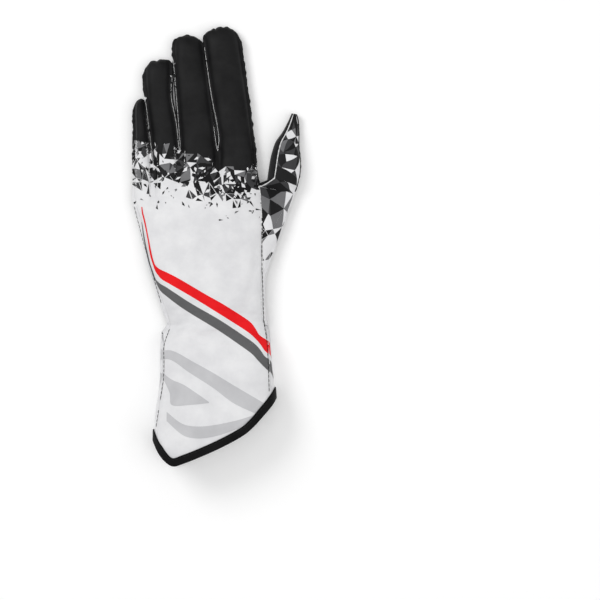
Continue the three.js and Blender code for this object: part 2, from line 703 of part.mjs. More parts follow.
// Palm side of the cuff: from the elastic at the wrist to the cuff's edge, up round both sides to the back's seams
function cuffPoint(i, row) {
  const step = i / CUFF_STEPS;
  const start = wristY - 2 * clearance;
  let turn = lerp(...cuffTurns(wristY - cuffLength), step);
  turn = lerp(...cuffTurns(lerp(start, clothEnd(shareAt(turn)), row)), step);
  const y = lerp(start, clothEnd(shareAt(turn)), row);
  const section = sectionAt(y);
  const middle = lerp(palmSeamHeight, section.middle, cuffBlend(y));
  const point = loopPoint({ ...section, middle }, turn);
  const besideSeam = smooth(Math.min(i, CUFF_STEPS - i) / gatherFadeSteps);
  const besideEdge = 1 - smooth((row - gatherEnd[0]) / (gatherEnd[1] - gatherEnd[0]));
  const depth = gatherDepth * besideSeam * besideEdge * Math.exp((y - wristY) / gatherReach);
  const pull = (depth * (0.5 - 0.5 * Math.cos(2 * Math.PI * gathers * step))) / (section.top / 2);
  return mix(point, [lerpX(section, 0.5), y, section.top / 2], pull);
}

function cuffPalmPanel() {
  const sheet = new Sheet();
  const rows = cuffRows.map((row) => Array.from({ length: CUFF_STEPS + 1 }, (_, i) => cuffPoint(i, row)));
  sheet.grid(rows.reverse());
  return sheet.solid(clothWall);
}

// Binding: a channel of tape that wraps the cuff's edge all the way round, with a station at each column of the cloth
function cuffBinding() {
  const outward = [clearance + bindingWall, clearance];
  const inward = [-clothWall - clearance, -clothWall - clearance - bindingWall];
  const profile = [
    [outward[0], 0],
    [outward[0], bindingWidth],
    [outward[1], bindingWidth],
    [outward[1], bindingWall],
    [inward[0], bindingWall],
    [inward[0], bindingWidth],
    [inward[1], bindingWidth],
    [inward[1], 0],
  ];
  const backTurns = columns.map((column) => turnAt(lerp(seamInset, rightSeamShare, column.across)));
  const ends = cuffTurns(wristY - cuffLength);
  const palmTurns = Array.from({ length: CUFF_STEPS - 1 }, (_, i) => lerp(...ends, (i + 1) / CUFF_STEPS));
  const turns = [...backTurns, ...palmTurns];
  const rimPoint = (turn, up) => {
    const share = shareAt(turn);
    return loopPoint(sectionAt(edgeY(share) + up * edgeSlant(share)), turn);
  };
  const rings = turns.map((turn, j) => {
    const before = rimPoint(turns.at(j - 1), bindingWall);
    const after = rimPoint(turns[(j + 1) % turns.length], bindingWall);
    const [dx, dz] = [after[0] - before[0], after[2] - before[2]];
    const around = Math.hypot(dx, dz);
    return profile.map(([out, up]) => {
      const [x, y, z] = rimPoint(turn, up);
      return [x - (dz / around) * out, y, z + (dx / around) * out];
    });
  });
  return loft(rings.reverse(), true);
}

// A grip pad: a flat plate with rounded corners under the palm. Its outline is a list of places in plan.
function gripPad(outline) {
  const shape = new THREE.Shape();
  outline.forEach((corner, k) => {
    const [before, after] = [outline.at(k - 1), outline[(k + 1) % outline.length]];
    const toward = (other) => {
      const length = Math.hypot(other[0] - corner[0], other[1] - corner[1]);
      return mix(corner, other, Math.min(padCornerShare, padCorner / length));
    };
    if (k === 0) shape.moveTo(...toward(before));
    else shape.lineTo(...toward(before));
    shape.quadraticCurveTo(...corner, ...toward(after));
  });
  return new THREE.ExtrudeGeometry(shape, { depth: padThickness, bevelEnabled: false, curveSegments: 2 });
}

const palmPlace = ([across, along]) => [across * handWidth, along * palmLength];
function thumbPlace([across, along]) {
  let k = 0;
  while (k < thumbSections.length - 2 && along > thumbSections[k + 1].along) k += 1;
  const t = (along - thumbSections[k].along) / (thumbSections[k + 1].along - thumbSections[k].along);
  const [a, b] = [thumbOvals[k], thumbOvals[k + 1]];
  return mix(mix(a.left, a.right, across), mix(b.left, b.right, across), t);
}

const group = new THREE.Group();
function add(name, geometry, color, roughness) {
  const material = new THREE.MeshStandardMaterial({ color, roughness, metalness: 0 });
  const mesh = new THREE.Mesh(geometry, material);
  mesh.name = name;
  group.add(mesh);
}

const WHITE_CLOTH = 0xe9e9ea;
const PRINTED_CLOTH = 0xb9b9ba;
const BLACK_CLOTH = 0x232324;
const BLACK_SUEDE = 0x1a1a1b;
const GREY_SILICONE = 0x76777a;
const BLACK_TAPE = 0x151516;
add("back_panel", backPanel(), WHITE_CLOTH, 0.75);
add("thumb_back", thumbBack(), PRINTED_CLOTH, 0.75);
add("palm_panel", palmPanel(), BLACK_SUEDE, 0.95);
for (let k = 0; k + 1 < fingers.length; k += 1) {
  add(`${fingers[k].name}_${fingers[k + 1].name}_gusset`, gusset(k), BLACK_CLOTH, 0.85);
}
add("cuff_palm_panel", cuffPalmPanel(), WHITE_CLOTH, 0.75);
add("cuff_binding", cuffBinding(), BLACK_TAPE, 0.8);
for (const [k, finger] of fingers.entries()) {
  for (const pad of fingerPads) {
    const outline = pad.outline.map(([u, t]) => fingerPlan(k, u, t));
    add(`${finger.name}_${pad.name}_pad`, gripPad(outline), GREY_SILICONE, 0.5);
  }
}
for (const pad of thumbPads) {
  add(`thumb_${pad.name}_pad`, gripPad(pad.outline.map(thumbPlace)), GREY_SILICONE, 0.5);
}
for (const pad of palmPads) {
  add(`palm_${pad.name}_pad`, gripPad(pad.outline.map(palmPlace)), GREY_SILICONE, 0.5);
}

export default group;
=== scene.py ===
import math
import random

import bmesh
import bpy
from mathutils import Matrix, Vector, noise
from mathutils.bvhtree import BVHTree
from mathutils.geometry import delaunay_2d_cdt


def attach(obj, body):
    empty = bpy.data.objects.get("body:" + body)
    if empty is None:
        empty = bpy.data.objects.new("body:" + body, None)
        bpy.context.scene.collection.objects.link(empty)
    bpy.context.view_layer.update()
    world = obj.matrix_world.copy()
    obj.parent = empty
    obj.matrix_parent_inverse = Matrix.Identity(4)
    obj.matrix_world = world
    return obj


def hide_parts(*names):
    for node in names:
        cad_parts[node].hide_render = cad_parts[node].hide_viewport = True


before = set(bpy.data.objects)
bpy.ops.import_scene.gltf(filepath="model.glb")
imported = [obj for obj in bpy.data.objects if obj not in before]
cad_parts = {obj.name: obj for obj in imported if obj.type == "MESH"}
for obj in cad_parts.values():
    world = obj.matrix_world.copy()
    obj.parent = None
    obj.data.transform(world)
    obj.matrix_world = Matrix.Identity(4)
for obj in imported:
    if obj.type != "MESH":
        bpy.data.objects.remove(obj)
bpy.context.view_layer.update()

MM = 0.001

# Fingers
LITTLE_WIDTH = 15.0
RING_WIDTH = 19.0
MIDDLE_WIDTH = 27.4
INDEX_WIDTH = 28.0
LITTLE_LENGTH = 53.0
RING_LENGTH = 73.0
MIDDLE_LENGTH = 83.0
INDEX_LENGTH = 93.5
FINGER_HEIGHT = 13.0
FINGER_SEAM_HEIGHT = 9.0

# Hand, wrist and cuff
PALM_LENGTH = 125.0
PALM_HEIGHT = 25.5
SIDE_SEAM_HEIGHT = 5.8
WRIST_WIDTH = 73.0
WRIST_HEIGHT = 26.0
CUFF_LENGTH = 101.0
CUFF_WIDTH = 89.6
CUFF_HEIGHT = 43.0

# Thumb
THUMB_WIDTH = 22.3
THUMB_LENGTH = 49.0
THUMB_HEIGHT = 15.5
THUMB_LEAN = 10.2
THUMB_GAP = 6.6

# Cloth, pads and binding
CLOTH_WALL = 1.2
SUEDE_WALL = 1.2
FLANGE_WIDTH = 2.2
PALM_FLANGE_LIFT = 1.2
FINGER_GAP = 0.7
PAD_THICKNESS = 0.9
BINDING_WALL = 0.9
BINDING_WIDTH = 6.0
CLEARANCE = 0.3
GATHER_DEPTH = 1.5
GATHER_REACH = 34.0
GATHERS = 7
POWER_TOP = 2.4
POWER_LOW = 5.0

HAND_WIDTH = LITTLE_WIDTH + RING_WIDTH + MIDDLE_WIDTH + INDEX_WIDTH
HAND_LEFT = -0.583 * HAND_WIDTH
WRIST_Y = -0.516 * PALM_LENGTH
LOW = PAD_THICKNESS + CLEARANCE
BACK_SEAM_HEIGHT = SIDE_SEAM_HEIGHT + CLOTH_WALL + CLEARANCE / 2
PALM_SEAM_HEIGHT = SIDE_SEAM_HEIGHT - SUEDE_WALL - CLEARANCE

# Name, width, length, share of the length at the left and right corner, and how far down the rounded end
# starts on the left and right
FINGERS = [
    ("little", LITTLE_WIDTH, LITTLE_LENGTH, 0.98, 1.0, 0.2, 0.1),
    ("ring", RING_WIDTH, RING_LENGTH, 1.06, 0.93, 0.19, 0.08),
    ("middle", MIDDLE_WIDTH, MIDDLE_LENGTH, 1.0, 1.01, 0.1, 0.11),
    ("index", INDEX_WIDTH, INDEX_LENGTH, 0.94, 1.03, 0.12, 0.15),
]
TIP_POWER = 2.3
TIP_LUMP = 0.8
TIP_LUMP_PITCH = 3.4
TIP_LUMP_FROM = 0.9
TIP_LUMP_REACH = 0.1
TIP_INSET = 0.3
TIP_ARCH_FROM = 0.74
TIP_SEAM_FROM = 0.8
TIP_PALM_FROM = 0.86
WAIST_SPREAD = 0.22
WEB_BLEND = 0.24
WAIST_START = 0.1
GAP_START = 0.06

# Small notches in the seam at the fingers' ends: x, width and depth for each finger
TIP_NOTCHES = [(-49.0, 1.0, 0.0), (-34.2, 1.2, 0.5), (-20.6, 0.9, 0.9), (7.6, 1.0, 1.3)]

# Web height, lean, waist on the left and on the right of the line, and where the waist is
BOUNDS = [
    (0.868, 0.011, 0.0, 0.02, 0.5),
    (0.885, -0.122, 0.0, 0.0, 0.3),
    (1.0, -0.079, 0.13, 0.0, 0.58),
    (1.0, -0.1364, 0.0, 0.055, 0.16),
    (0.956, -0.14, -0.02, 0.0, 0.5),
]

# Along, width, centre, top, and for the cuff also middle
HAND_SECTIONS = [
    (1.0, 1.018, -0.078, 0.56),
    (0.868, 1.034, -0.07, 0.68),
    (0.78, 1.068, -0.061, 0.78),
    (0.692, 1.057, -0.048, 0.86),
    (0.612, 1.027, -0.027, 0.92),
    (0.476, 0.978, -0.002, 0.98),
    (0.34, 0.947, 0.015, 1.0),
    (0.196, 0.872, 0.0425, 1.0),
    (0.076, 0.819, 0.074, 0.98),
]
WRIST_CENTRE = 0.1007
CUFF_SECTIONS = [
    (1.0, 1.0, 0.0895, 1.0, 0.49),
    (0.65, 0.972, 0.09, 0.96, 0.44),
    (0.4, 0.923, 0.093, 0.87, 0.37),
    (0.153, 0.9, 0.088, 0.73, 0.27),
    (0.054, 0.872, 0.087, 0.66, 0.2),
]
CUFF_EDGE = [
    (0.0, 0.83), (0.05, 0.918), (0.11, 0.977), (0.165, 1.0), (0.245, 0.98), (0.406, 0.923), (0.565, 0.859),
    (0.726, 0.782), (0.807, 0.725), (0.885, 0.653), (0.966, 0.575), (1.0, 0.531),
]
SLANT_REACH = 0.03
SLANT_LIMIT = 1.5

# Across, along, turn, length, width, depth
FOLDS = [
    (0.5, -0.02, 4.0, 0.6, 0.05, 0.016),
    (0.1, -0.03, 30.0, 0.16, 0.04, 0.024),
    (0.12, -0.5, 70.0, 0.2, 0.05, 0.018),
    (0.78, -0.2, -35.0, 0.25, 0.06, 0.014),
    (0.55, 0.68, 20.0, 0.3, 0.08, -0.012),
    (0.3, -0.12, 12.0, 0.2, 0.025, 0.009),
    (0.72, 0.06, -8.0, 0.22, 0.03, 0.008),
    (0.2, 0.1, 24.0, 0.16, 0.03, 0.009),
    (0.4, -0.62, -28.0, 0.2, 0.04, 0.01),
    (0.9, 0.3, 82.0, 0.3, 0.03, 0.008),
]

# Along, width, offset, tilt, height
THUMB_SECTIONS = [
    (0.0, 1.0, 0.0, -8.0, 1.0),
    (0.17, 1.02, 0.0, -3.0, 1.0),
    (0.34, 0.95, -0.03, 0.0, 0.95),
    (0.54, 0.76, -0.06, 0.0, 0.82),
    (0.7, 0.55, -0.01, 0.0, 0.64),
    (0.86, 0.36, 0.01, 0.0, 0.45),
    (1.0, 0.18, 0.0, 0.0, 0.3),
]
THUMB_MIDDLE = 0.42
THUMB_TIP_LIFT = 0.14
THUMB_TIP_FROM = 0.8
THUMB_SEAM_SHARE = 0.22
THUMB_SEAM_GAP = 1.3 * CLEARANCE
THUMB_FOOT_LIFT = 1.5
CROTCH_SHARE = 0.145
CROTCH_GAP = 0.02
THENAR_END = 0.7
THUMB_TURN_SHARE = 0.1
SEAM_INSET = 0.034
THUMB_SEAM_INSET = 0.032
CUFF_SEAM_REACH = 15.0
CUFF_SEAM_GAP = 1.6 * CLEARANCE
CUFF_LAP = 1.2 * CLOTH_WALL
RIGHT_SEAM_SHARE = 1 - THUMB_SEAM_INSET

# Fineness of the meshes
FINGER_STEPS = 26
FINGER_ROWS = 78
FINGER_CROWD = 1.35
HAND_ROWS = 110
CUFF_ROWS = 84
ARC_STEPS = 36
THUMB_ROWS = 60
CUFF_STEPS = 120
WELD = 0.001

# Relief of the cloths: height, seed, length across and length along
BACK_DENTS = [(0.35, 1, 26, 34), (0.16, 2, 9, 12)]
FINGER_DENTS = [(0.16, 5, 14, 6)]
PALM_DENTS = [(0.22, 11, 18, 22), (0.1, 12, 6, 8)]
CUFF_DENTS = [(0.2, 32, 18, 26)]
WRIST_MIDDLE = 2.0
WRIST_REACH = 20.0
WRIST_DENT = 0.12
CREASE_DEPTH = 0.55
CREASE_FROM = 0.72
CREASE_REACH = 0.28
WEB_CREASE_DEPTH = 0.9
WEB_CREASE_WIDTH = 2.6
WEB_CREASE_LEAN = 0.12
WEB_CREASE_REACH = 16.0
FINGER_DENTS_FROM = 0.9

# The printed artwork is placed from measured points of the photograph: pixels, PHOTO_MM millimetres apart,
# with the origin of the frame at PHOTO_ORIGIN
PHOTO_MM = 0.72
PHOTO_ORIGIN = (205, 235)
PHOTO_MIDDLE = 300
PHOTO_SIDE = 600
RED_TOP = [
    (142.6, 207), (143.6, 213), (145.7, 221.4), (149.1, 239), (152.4, 255), (154.8, 263.4), (156.8, 266.5),
    (160.4, 269.3), (168.6, 273.1), (180.8, 279.5), (206, 294.3), (225.4, 305.3), (246.8, 319.1),
    (251.9, 323.4), (255.5, 328.3), (259.6, 334.9), (266.2, 339.5), (272, 343.8), (276, 347),
]
RED_LOW = [
    (141.7, 207), (142.2, 213), (144.5, 222.6), (147.7, 239), (150.3, 255), (153.8, 266.2), (155.8, 271.3),
    (159.4, 276.4), (162.4, 279.5), (168.6, 283.1), (193.1, 297.3), (215.2, 310.9), (245.8, 330.3),
    (252.4, 335.4), (258, 341), (261.6, 345.6), (264.7, 350.2), (268.3, 353.5), (272, 356.3), (276, 359),
]
DARK_TOP = [
    (142, 222), (144.3, 236.3), (148, 255), (150.4, 264.2), (153.4, 272.3), (155.8, 279), (160.4, 283.6),
    (166.5, 287.1), (191, 303), (220, 319.8), (245.8, 336.9), (252.4, 341.5), (258, 346.6), (261.6, 351.2),
    (264.7, 355.8), (269.3, 359.4), (273, 362.4), (277, 365.5),
]
DARK_LOW = [
    (141.4, 222), (143.1, 236.3), (146.7, 255), (149, 264.2), (152, 272.3), (154.6, 279.5), (157.3, 285.1),
    (160.4, 290.5), (163.5, 293.5), (182.9, 308.1), (220, 331), (245.8, 348.7), (253, 354.3), (258, 359.9),
    (263.6, 365.8), (269, 371), (273.6, 374.8), (277, 377.5),
]
BAND_A_TOP = [(160.8, 350), (173.7, 350.7), (194.5, 361.6), (214.3, 372.5), (234, 384.4), (263.8, 402)]
BAND_A_LOW = [(160.8, 359), (171.7, 359.6), (189.6, 371.5), (214.3, 387.3), (234, 402), (257, 413)]
BAND_B_TOP = [(167.8, 411), (184.6, 423), (204.4, 425), (234, 420), (258, 413)]
BAND_B_LOW = [(167.8, 420), (184.6, 434), (199.5, 437), (219.3, 434), (239, 427)]
WEDGE_TOP = [(163, 372), (172.7, 379), (184.6, 384), (197, 392), (210, 401)]
WEDGE_LOW = [(163, 376), (170.5, 392), (172.7, 404), (190, 404), (210, 402)]
BACK_SEAM_LINE = [
    (259.6, 178), (262, 189), (262, 215), (262, 270), (263, 280), (263.8, 320), (266.8, 340), (268.2, 360),
    (269.4, 393),
]
CUFF_SEAM_LINE = [(169.8, 329), (164.8, 345), (164.8, 362), (164.3, 379), (160, 407), (157, 427)]
SIDE_SEAM_LINE = [(134, 206), (138.5, 224), (145, 248), (153, 276), (162, 306)]
# Where the black of the fingers ends and where the shards below it end
SHARD_TOP = [(125, 136), (150, 141), (180, 147), (200, 154), (225, 166), (245, 166), (270, 156)]
SHARD_LOW = [(125, 196), (150, 194), (180, 197), (205, 203), (230, 209), (270, 207)]


def lerp(a, b, t):
    return a + (b - a) * t


def mix(p, q, t):
    return tuple(a + (b - a) * t for a, b in zip(p, q))


def smooth(t):
    s = min(1.0, max(0.0, t))
    return s * s * (3 - 2 * s)


def bump(t):
    return math.exp(-t * t)


def arch_share(side, power):
    return max(0.0, 1 - min(1.0, side) ** power) ** (1 / power)


def curve_at(rows, x, column):
    """A smooth curve through the rows of a table, read at one place."""
    k = 0
    while k < len(rows) - 2 and x > rows[k + 1][0]:
        k += 1
    a, b = rows[k], rows[k + 1]
    before, after = rows[max(0, k - 1)], rows[min(len(rows) - 1, k + 2)]
    span = b[0] - a[0]
    t = min(1.0, max(0.0, (x - a[0]) / span))
    slope_a = (b[column] - before[column]) / (b[0] - before[0]) * span
    slope_b = (after[column] - a[column]) / (after[0] - a[0]) * span
    t2, t3 = t * t, t * t * t
    from_a = a[column] * (2 * t3 - 3 * t2 + 1) + slope_a * (t3 - 2 * t2 + t)
    return from_a + b[column] * (3 * t2 - 2 * t3) + slope_b * (t3 - t2)


# Y, width, centre, middle and top of every section, from the cuff's end up to the web
STATIONS = [
    (WRIST_Y - a * CUFF_LENGTH, w * CUFF_WIDTH, c * HAND_WIDTH, LOW + m * CUFF_HEIGHT, t * CUFF_HEIGHT)
    for a, w, c, t, m in CUFF_SECTIONS
]
STATIONS.append((WRIST_Y, WRIST_WIDTH, WRIST_CENTRE * HAND_WIDTH, SIDE_SEAM_HEIGHT + LOW, WRIST_HEIGHT))
STATIONS += [
    (WRIST_Y + a * PALM_LENGTH, w * HAND_WIDTH, c * HAND_WIDTH, SIDE_SEAM_HEIGHT, t * PALM_HEIGHT)
    for a, w, c, t in reversed(HAND_SECTIONS)
]


def section_at(y):
    width, centre, middle, top = (curve_at(STATIONS, y, column) for column in (1, 2, 3, 4))
    left, right = (centre - width / 2, y), (centre + width / 2, y)
    return {"left": left, "right": right, "low": LOW, "middle": middle, "top": top}


def section_width(y):
    return curve_at(STATIONS, y, 1)


def loop_point(section, turn, middle=None):
    """Turn 0 is the left side of a section, 0.25 its top, 0.5 the right side and 0.75 the underside."""
    c, s = math.cos(2 * math.pi * turn), math.sin(2 * math.pi * turn)
    power = 2 / (POWER_TOP if s >= 0 else POWER_LOW)
    share = 0.5 - 0.5 * math.copysign(abs(c) ** power, c)
    rise = abs(s) ** power
    middle = section["middle"] if middle is None else middle
    z = middle + ((section["top"] if s >= 0 else section["low"]) - middle) * rise
    x, y = mix(section["left"], section["right"], share)
    return (x, y, z)


def turn_at(share):
    side = 1 - 2 * share
    c = math.copysign(abs(side) ** (POWER_TOP / 2), side)
    return math.acos(max(-1.0, min(1.0, c))) / (2 * math.pi)


def share_at(turn):
    c = math.cos(2 * math.pi * turn)
    power = POWER_TOP if math.sin(2 * math.pi * turn) >= 0 else POWER_LOW
    return 0.5 - 0.5 * math.copysign(abs(c) ** (2 / power), c)


def cuff_blend(y):
    return smooth((WRIST_Y - y) / CUFF_SEAM_REACH)


def flange_flat(y):
    return FLANGE_WIDTH / section_width(y) * (1 - cuff_blend(y))


def left_seam_share(y):
    return SEAM_INSET * cuff_blend(y)


def edge_y(share):
    return WRIST_Y - CUFF_LENGTH * curve_at(CUFF_EDGE, share, 1)


def edge_slant(share):
    low, high = max(0.0, share - SLANT_REACH), min(1.0, share + SLANT_REACH)
    return min(SLANT_LIMIT, math.hypot(1, (edge_y(high) - edge_y(low)) / ((high - low) * CUFF_WIDTH)))


def cloth_end(share):
    return edge_y(share) + (BINDING_WALL + CLEARANCE) * edge_slant(share)


BOUND_BASE = []
for k, row in enumerate(BOUNDS):
    BOUND_BASE.append((HAND_LEFT + sum(f[1] for f in FINGERS[:k]), WRIST_Y + row[0] * PALM_LENGTH))


def finger_plan(k, u, t):
    """A point of a finger in plan: u across from its left side, t from the web to its rounded end."""
    _, width, length, left, right, round_left, round_right = FINGERS[k]
    ends = []
    rounding = round_left if u < 0.5 else round_right
    reach = t * (1 - rounding * (1 - arch_share(abs(2 * u - 1), TIP_POWER)))
    for side in (0, 1):
        _, lean, waist_left, waist_right, at = BOUNDS[k + side]
        x, y = BOUND_BASE[k + side]
        rise = length * (right if side else left) * reach
        inward = -1 if side else 1
        draw = (waist_left if side else waist_right) * bump((reach - at) / WAIST_SPREAD)
        waist = draw * width * smooth(reach / WAIST_START)
        inner = 0 < k + side < len(FINGERS)
        gap = FINGER_GAP / 2 * smooth(reach / GAP_START) if inner else 0.0
        ends.append((x + lean * rise + inward * (waist + gap), y + rise))
    x, y = mix(ends[0], ends[1], u)
    at_end = smooth((t - TIP_LUMP_FROM) / TIP_LUMP_REACH)
    notch_x, notch_width, notch_depth = TIP_NOTCHES[k]
    lump = TIP_LUMP * noise.noise(Vector((x / TIP_LUMP_PITCH, k * 4.1, 2.0)))
    return (x, y - at_end * (TIP_INSET + lump + notch_depth * bump((x - notch_x) / notch_width)))


def is_outer(k, u):
    return (k == 0 and u < 0.5) or (k == len(FINGERS) - 1 and u > 0.5)


def finger_close(t):
    return smooth((t - TIP_SEAM_FROM) / (1 - TIP_SEAM_FROM))


def back_edge_height(k, u, t):
    side = BACK_SEAM_HEIGHT if is_outer(k, u) else FINGER_SEAM_HEIGHT
    return lerp(side, BACK_SEAM_HEIGHT, finger_close(t))


def palm_edge_height(k, u, t):
    side = PALM_SEAM_HEIGHT if is_outer(k, u) else LOW + PALM_FLANGE_LIFT
    return lerp(side, PALM_SEAM_HEIGHT, finger_close(t))


def finger_arch(k, u, power):
    return arch_share(abs(2 * u - 1) / (1 - 2 * FLANGE_WIDTH / FINGERS[k][1]), power)


def back_finger(k, u, t):
    base = lerp(back_edge_height(k, 0, t), back_edge_height(k, 1, t), u)
    closing = arch_share(max(0.0, (t - TIP_ARCH_FROM) / (1 - TIP_ARCH_FROM)), 2)
    x, y = finger_plan(k, u, t)
    return (x, y, base + (FINGER_HEIGHT - base) * finger_arch(k, u, POWER_TOP) * closing)


def palm_finger(k, u, t):
    edge = palm_edge_height(k, u, t)
    tip = smooth((t - TIP_PALM_FROM) / (1 - TIP_PALM_FROM))
    side = 1 - finger_arch(k, u, POWER_LOW)
    x, y = finger_plan(k, u, t)
    return (x, y, lerp(LOW, edge, max(side, tip)))


# Columns of the sheets: finger, share across it and share across the hand. They crowd towards the edges of
# each finger.
COLUMNS = []
for k, finger in enumerate(FINGERS):
    count = FINGER_STEPS + (1 if k == len(FINGERS) - 1 else 0)
    for i in range(count):
        u = 0.5 - 0.5 * math.cos(math.pi * i / FINGER_STEPS)
        COLUMNS.append((k, u, (BOUND_BASE[k][0] + u * finger[1] - HAND_LEFT) / HAND_WIDTH))
LAST = COLUMNS[-1]


def lerp_x(section, share):
    return lerp(section["left"][0], section["right"][0], share)


FOLD_PLACES = []
for across, along, turn, length, width, depth in FOLDS:
    y = WRIST_Y + along * (CUFF_LENGTH if along < 0 else PALM_LENGTH)
    x = lerp_x(section_at(y), across)
    size = (length * HAND_WIDTH, width * HAND_WIDTH, depth * HAND_WIDTH)
    FOLD_PLACES.append((x, y, math.radians(turn), *size))


def fold_depth(x, y):
    total = 0.0
    for fx, fy, turn, length, width, depth in FOLD_PLACES:
        c, s = math.cos(turn), math.sin(turn)
        dx, dy = x - fx, y - fy
        total += depth * bump((dx * c + dy * s) / length) * bump((dy * c - dx * s) / width)
    return total


def back_point(column, row):
    """The back from the web line (row 0) to the wrist (row 1) and on to the cuff's edge (row 2)."""
    k, u, across = column
    foot = back_finger(k, u, 0)
    end = cloth_end(lerp(SEAM_INSET, RIGHT_SEAM_SHARE, across))
    y = lerp(foot[1], WRIST_Y, row) if row <= 1 else lerp(WRIST_Y, end, row - 1)
    share = lerp(left_seam_share(y), RIGHT_SEAM_SHARE, across)
    section = section_at(y)
    flat = flange_flat(y)
    base = lerp(BACK_SEAM_HEIGHT, section["middle"], cuff_blend(y))
    arch = loop_point(section, turn_at(max(0.0, (share - flat) / (1 - flat))), base)
    x = lerp_x(section, share)
    z = arch[2] - fold_depth(x, y)
    blend = smooth((foot[1] - y) / (WEB_BLEND * PALM_LENGTH))
    return (lerp(foot[0], x, blend), y, lerp(foot[2], z, blend))


def wave(x, y, seed, size_x, size_y):
    """Soft noise with its own length along x and along y."""
    return noise.noise(Vector((x / size_x, y / size_y, seed * 7.3)))


def dents(rows, x, y):
    return sum(height * wave(x, y, seed, wide, long) for height, seed, wide, long in rows)


def back_relief(x, y, z):
    """Small dents and creases of stretch cloth, more of them at the wrist and beside the webs."""
    relief = dents(BACK_DENTS, x, y)
    wrist = bump((y - WRIST_Y + WRIST_MIDDLE) / WRIST_REACH)
    crease = 1 - abs(wave(x, y, 3, 30, 7))
    relief -= CREASE_DEPTH * wrist * max(0.0, crease - CREASE_FROM) / CREASE_REACH
    relief += WRIST_DENT * wrist * wave(x, y, 4, 8, 4)
    for web_x, web_y in BOUND_BASE[1:4]:
        if y < web_y + 2:
            fade = math.exp((y - web_y) / WEB_CREASE_REACH)
            aside = x - web_x - WEB_CREASE_LEAN * (web_y - y)
            relief -= WEB_CREASE_DEPTH * fade * bump(aside / WEB_CREASE_WIDTH)
    if y > WRIST_Y + FINGER_DENTS_FROM * PALM_LENGTH:
        relief += dents(FINGER_DENTS, x, y)
    return relief


def palm_relief(x, y, z):
    return dents(PALM_DENTS, x, y)


def thumb_relief(x, y, z):
    return 0.3 * wave(x, y, 21, 14, 16) + 0.12 * wave(x, z, 22, 6, 7)


def cuff_relief(x, y, z):
    return dents(CUFF_DENTS, x, y)


class Sheet:
    """An outer face gathered from grids that share their common points, then thickened inward and closed."""

    def __init__(self):
        self.points = []
        self.faces = []
        self.found = {}

    @staticmethod
    def key(point):
        return tuple(round(value * 1000) for value in point)

    def place(self, point):
        key = self.key(point)
        if key not in self.found:
            self.found[key] = len(self.points)
            self.points.append(Vector(point))
        return self.found[key]

    def at(self, point):
        """Where a point of the grids lies after the relief."""
        return self.points[self.found[self.key(point)]]

    def grid(self, rows):
        ids = [[self.place(point) for point in row] for row in rows]
        for j in range(len(ids) - 1):
            for i in range(len(ids[j]) - 1):
                corners = [ids[j][i], ids[j][i + 1], ids[j + 1][i + 1], ids[j + 1][i]]
                face = [c for n, c in enumerate(corners) if c != corners[n - 1]]
                if len(set(face)) >= 3:
                    self.faces.append(face)

    def normals(self):
        result = [Vector((0, 0, 0)) for _ in self.points]
        for face in self.faces:
            p, q, r = (self.points[face[n]] for n in (0, 1, 2))
            normal = (q - p).cross(r - p)
            if len(face) == 4:
                normal += (r - p).cross(self.points[face[3]] - p)
            for corner in face:
                result[corner] += normal
        return [normal.normalized() for normal in result]

    def relief(self, function):
        normals = self.normals()
        for k, point in enumerate(self.points):
            self.points[k] = point + normals[k] * function(*point)

    def solid(self, wall):
        normals = self.normals()
        count = len(self.points)
        points = self.points + [point - normals[k] * wall for k, point in enumerate(self.points)]
        faces = self.faces + [[c + count for c in reversed(face)] for face in self.faces]
        edges = set()
        for face in self.faces:
            for n, corner in enumerate(face):
                edges.add((face[n - 1], corner))
        for a, b in edges:
            if (b, a) not in edges:
                faces.append([b, a, a + count, b + count])
        return points, faces


def tube_faces(rings, size, closed=False):
    """The faces between rings of so many points, also from the last ring to the first where it is closed."""
    faces = []
    for j in range(rings if closed else rings - 1):
        n = (j + 1) % rings
        for i in range(size):
            m = (i + 1) % size
            faces.append([j * size + i, j * size + m, n * size + m, n * size + i])
    return faces


def add(name, points, faces, materials, slot, *nodes, face_slots=None, soft=True, turn_out=True):
    """A piece on the body root. It is shown in place of the CAD nodes that follow its slot argument, which is
    not used.
    """
    mesh = bpy.data.meshes.new(name)
    mesh.from_pydata([tuple(value * MM for value in point) for point in points], [], faces)
    for material in materials:
        mesh.materials.append(material)
    if face_slots:
        mesh.polygons.foreach_set("material_index", face_slots)
    if turn_out:
        work = bmesh.new()
        work.from_mesh(mesh)
        bmesh.ops.remove_doubles(work, verts=work.verts, dist=WELD * MM)
        bmesh.ops.recalc_face_normals(work, faces=work.faces)
        work.to_mesh(mesh)
        work.free()
    if soft:
        mesh.shade_smooth()
    mesh.update()
    piece = bpy.data.objects.new(name, mesh)
    bpy.context.scene.collection.objects.link(piece)
    if nodes:
        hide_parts(*nodes)
    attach(piece, "root")


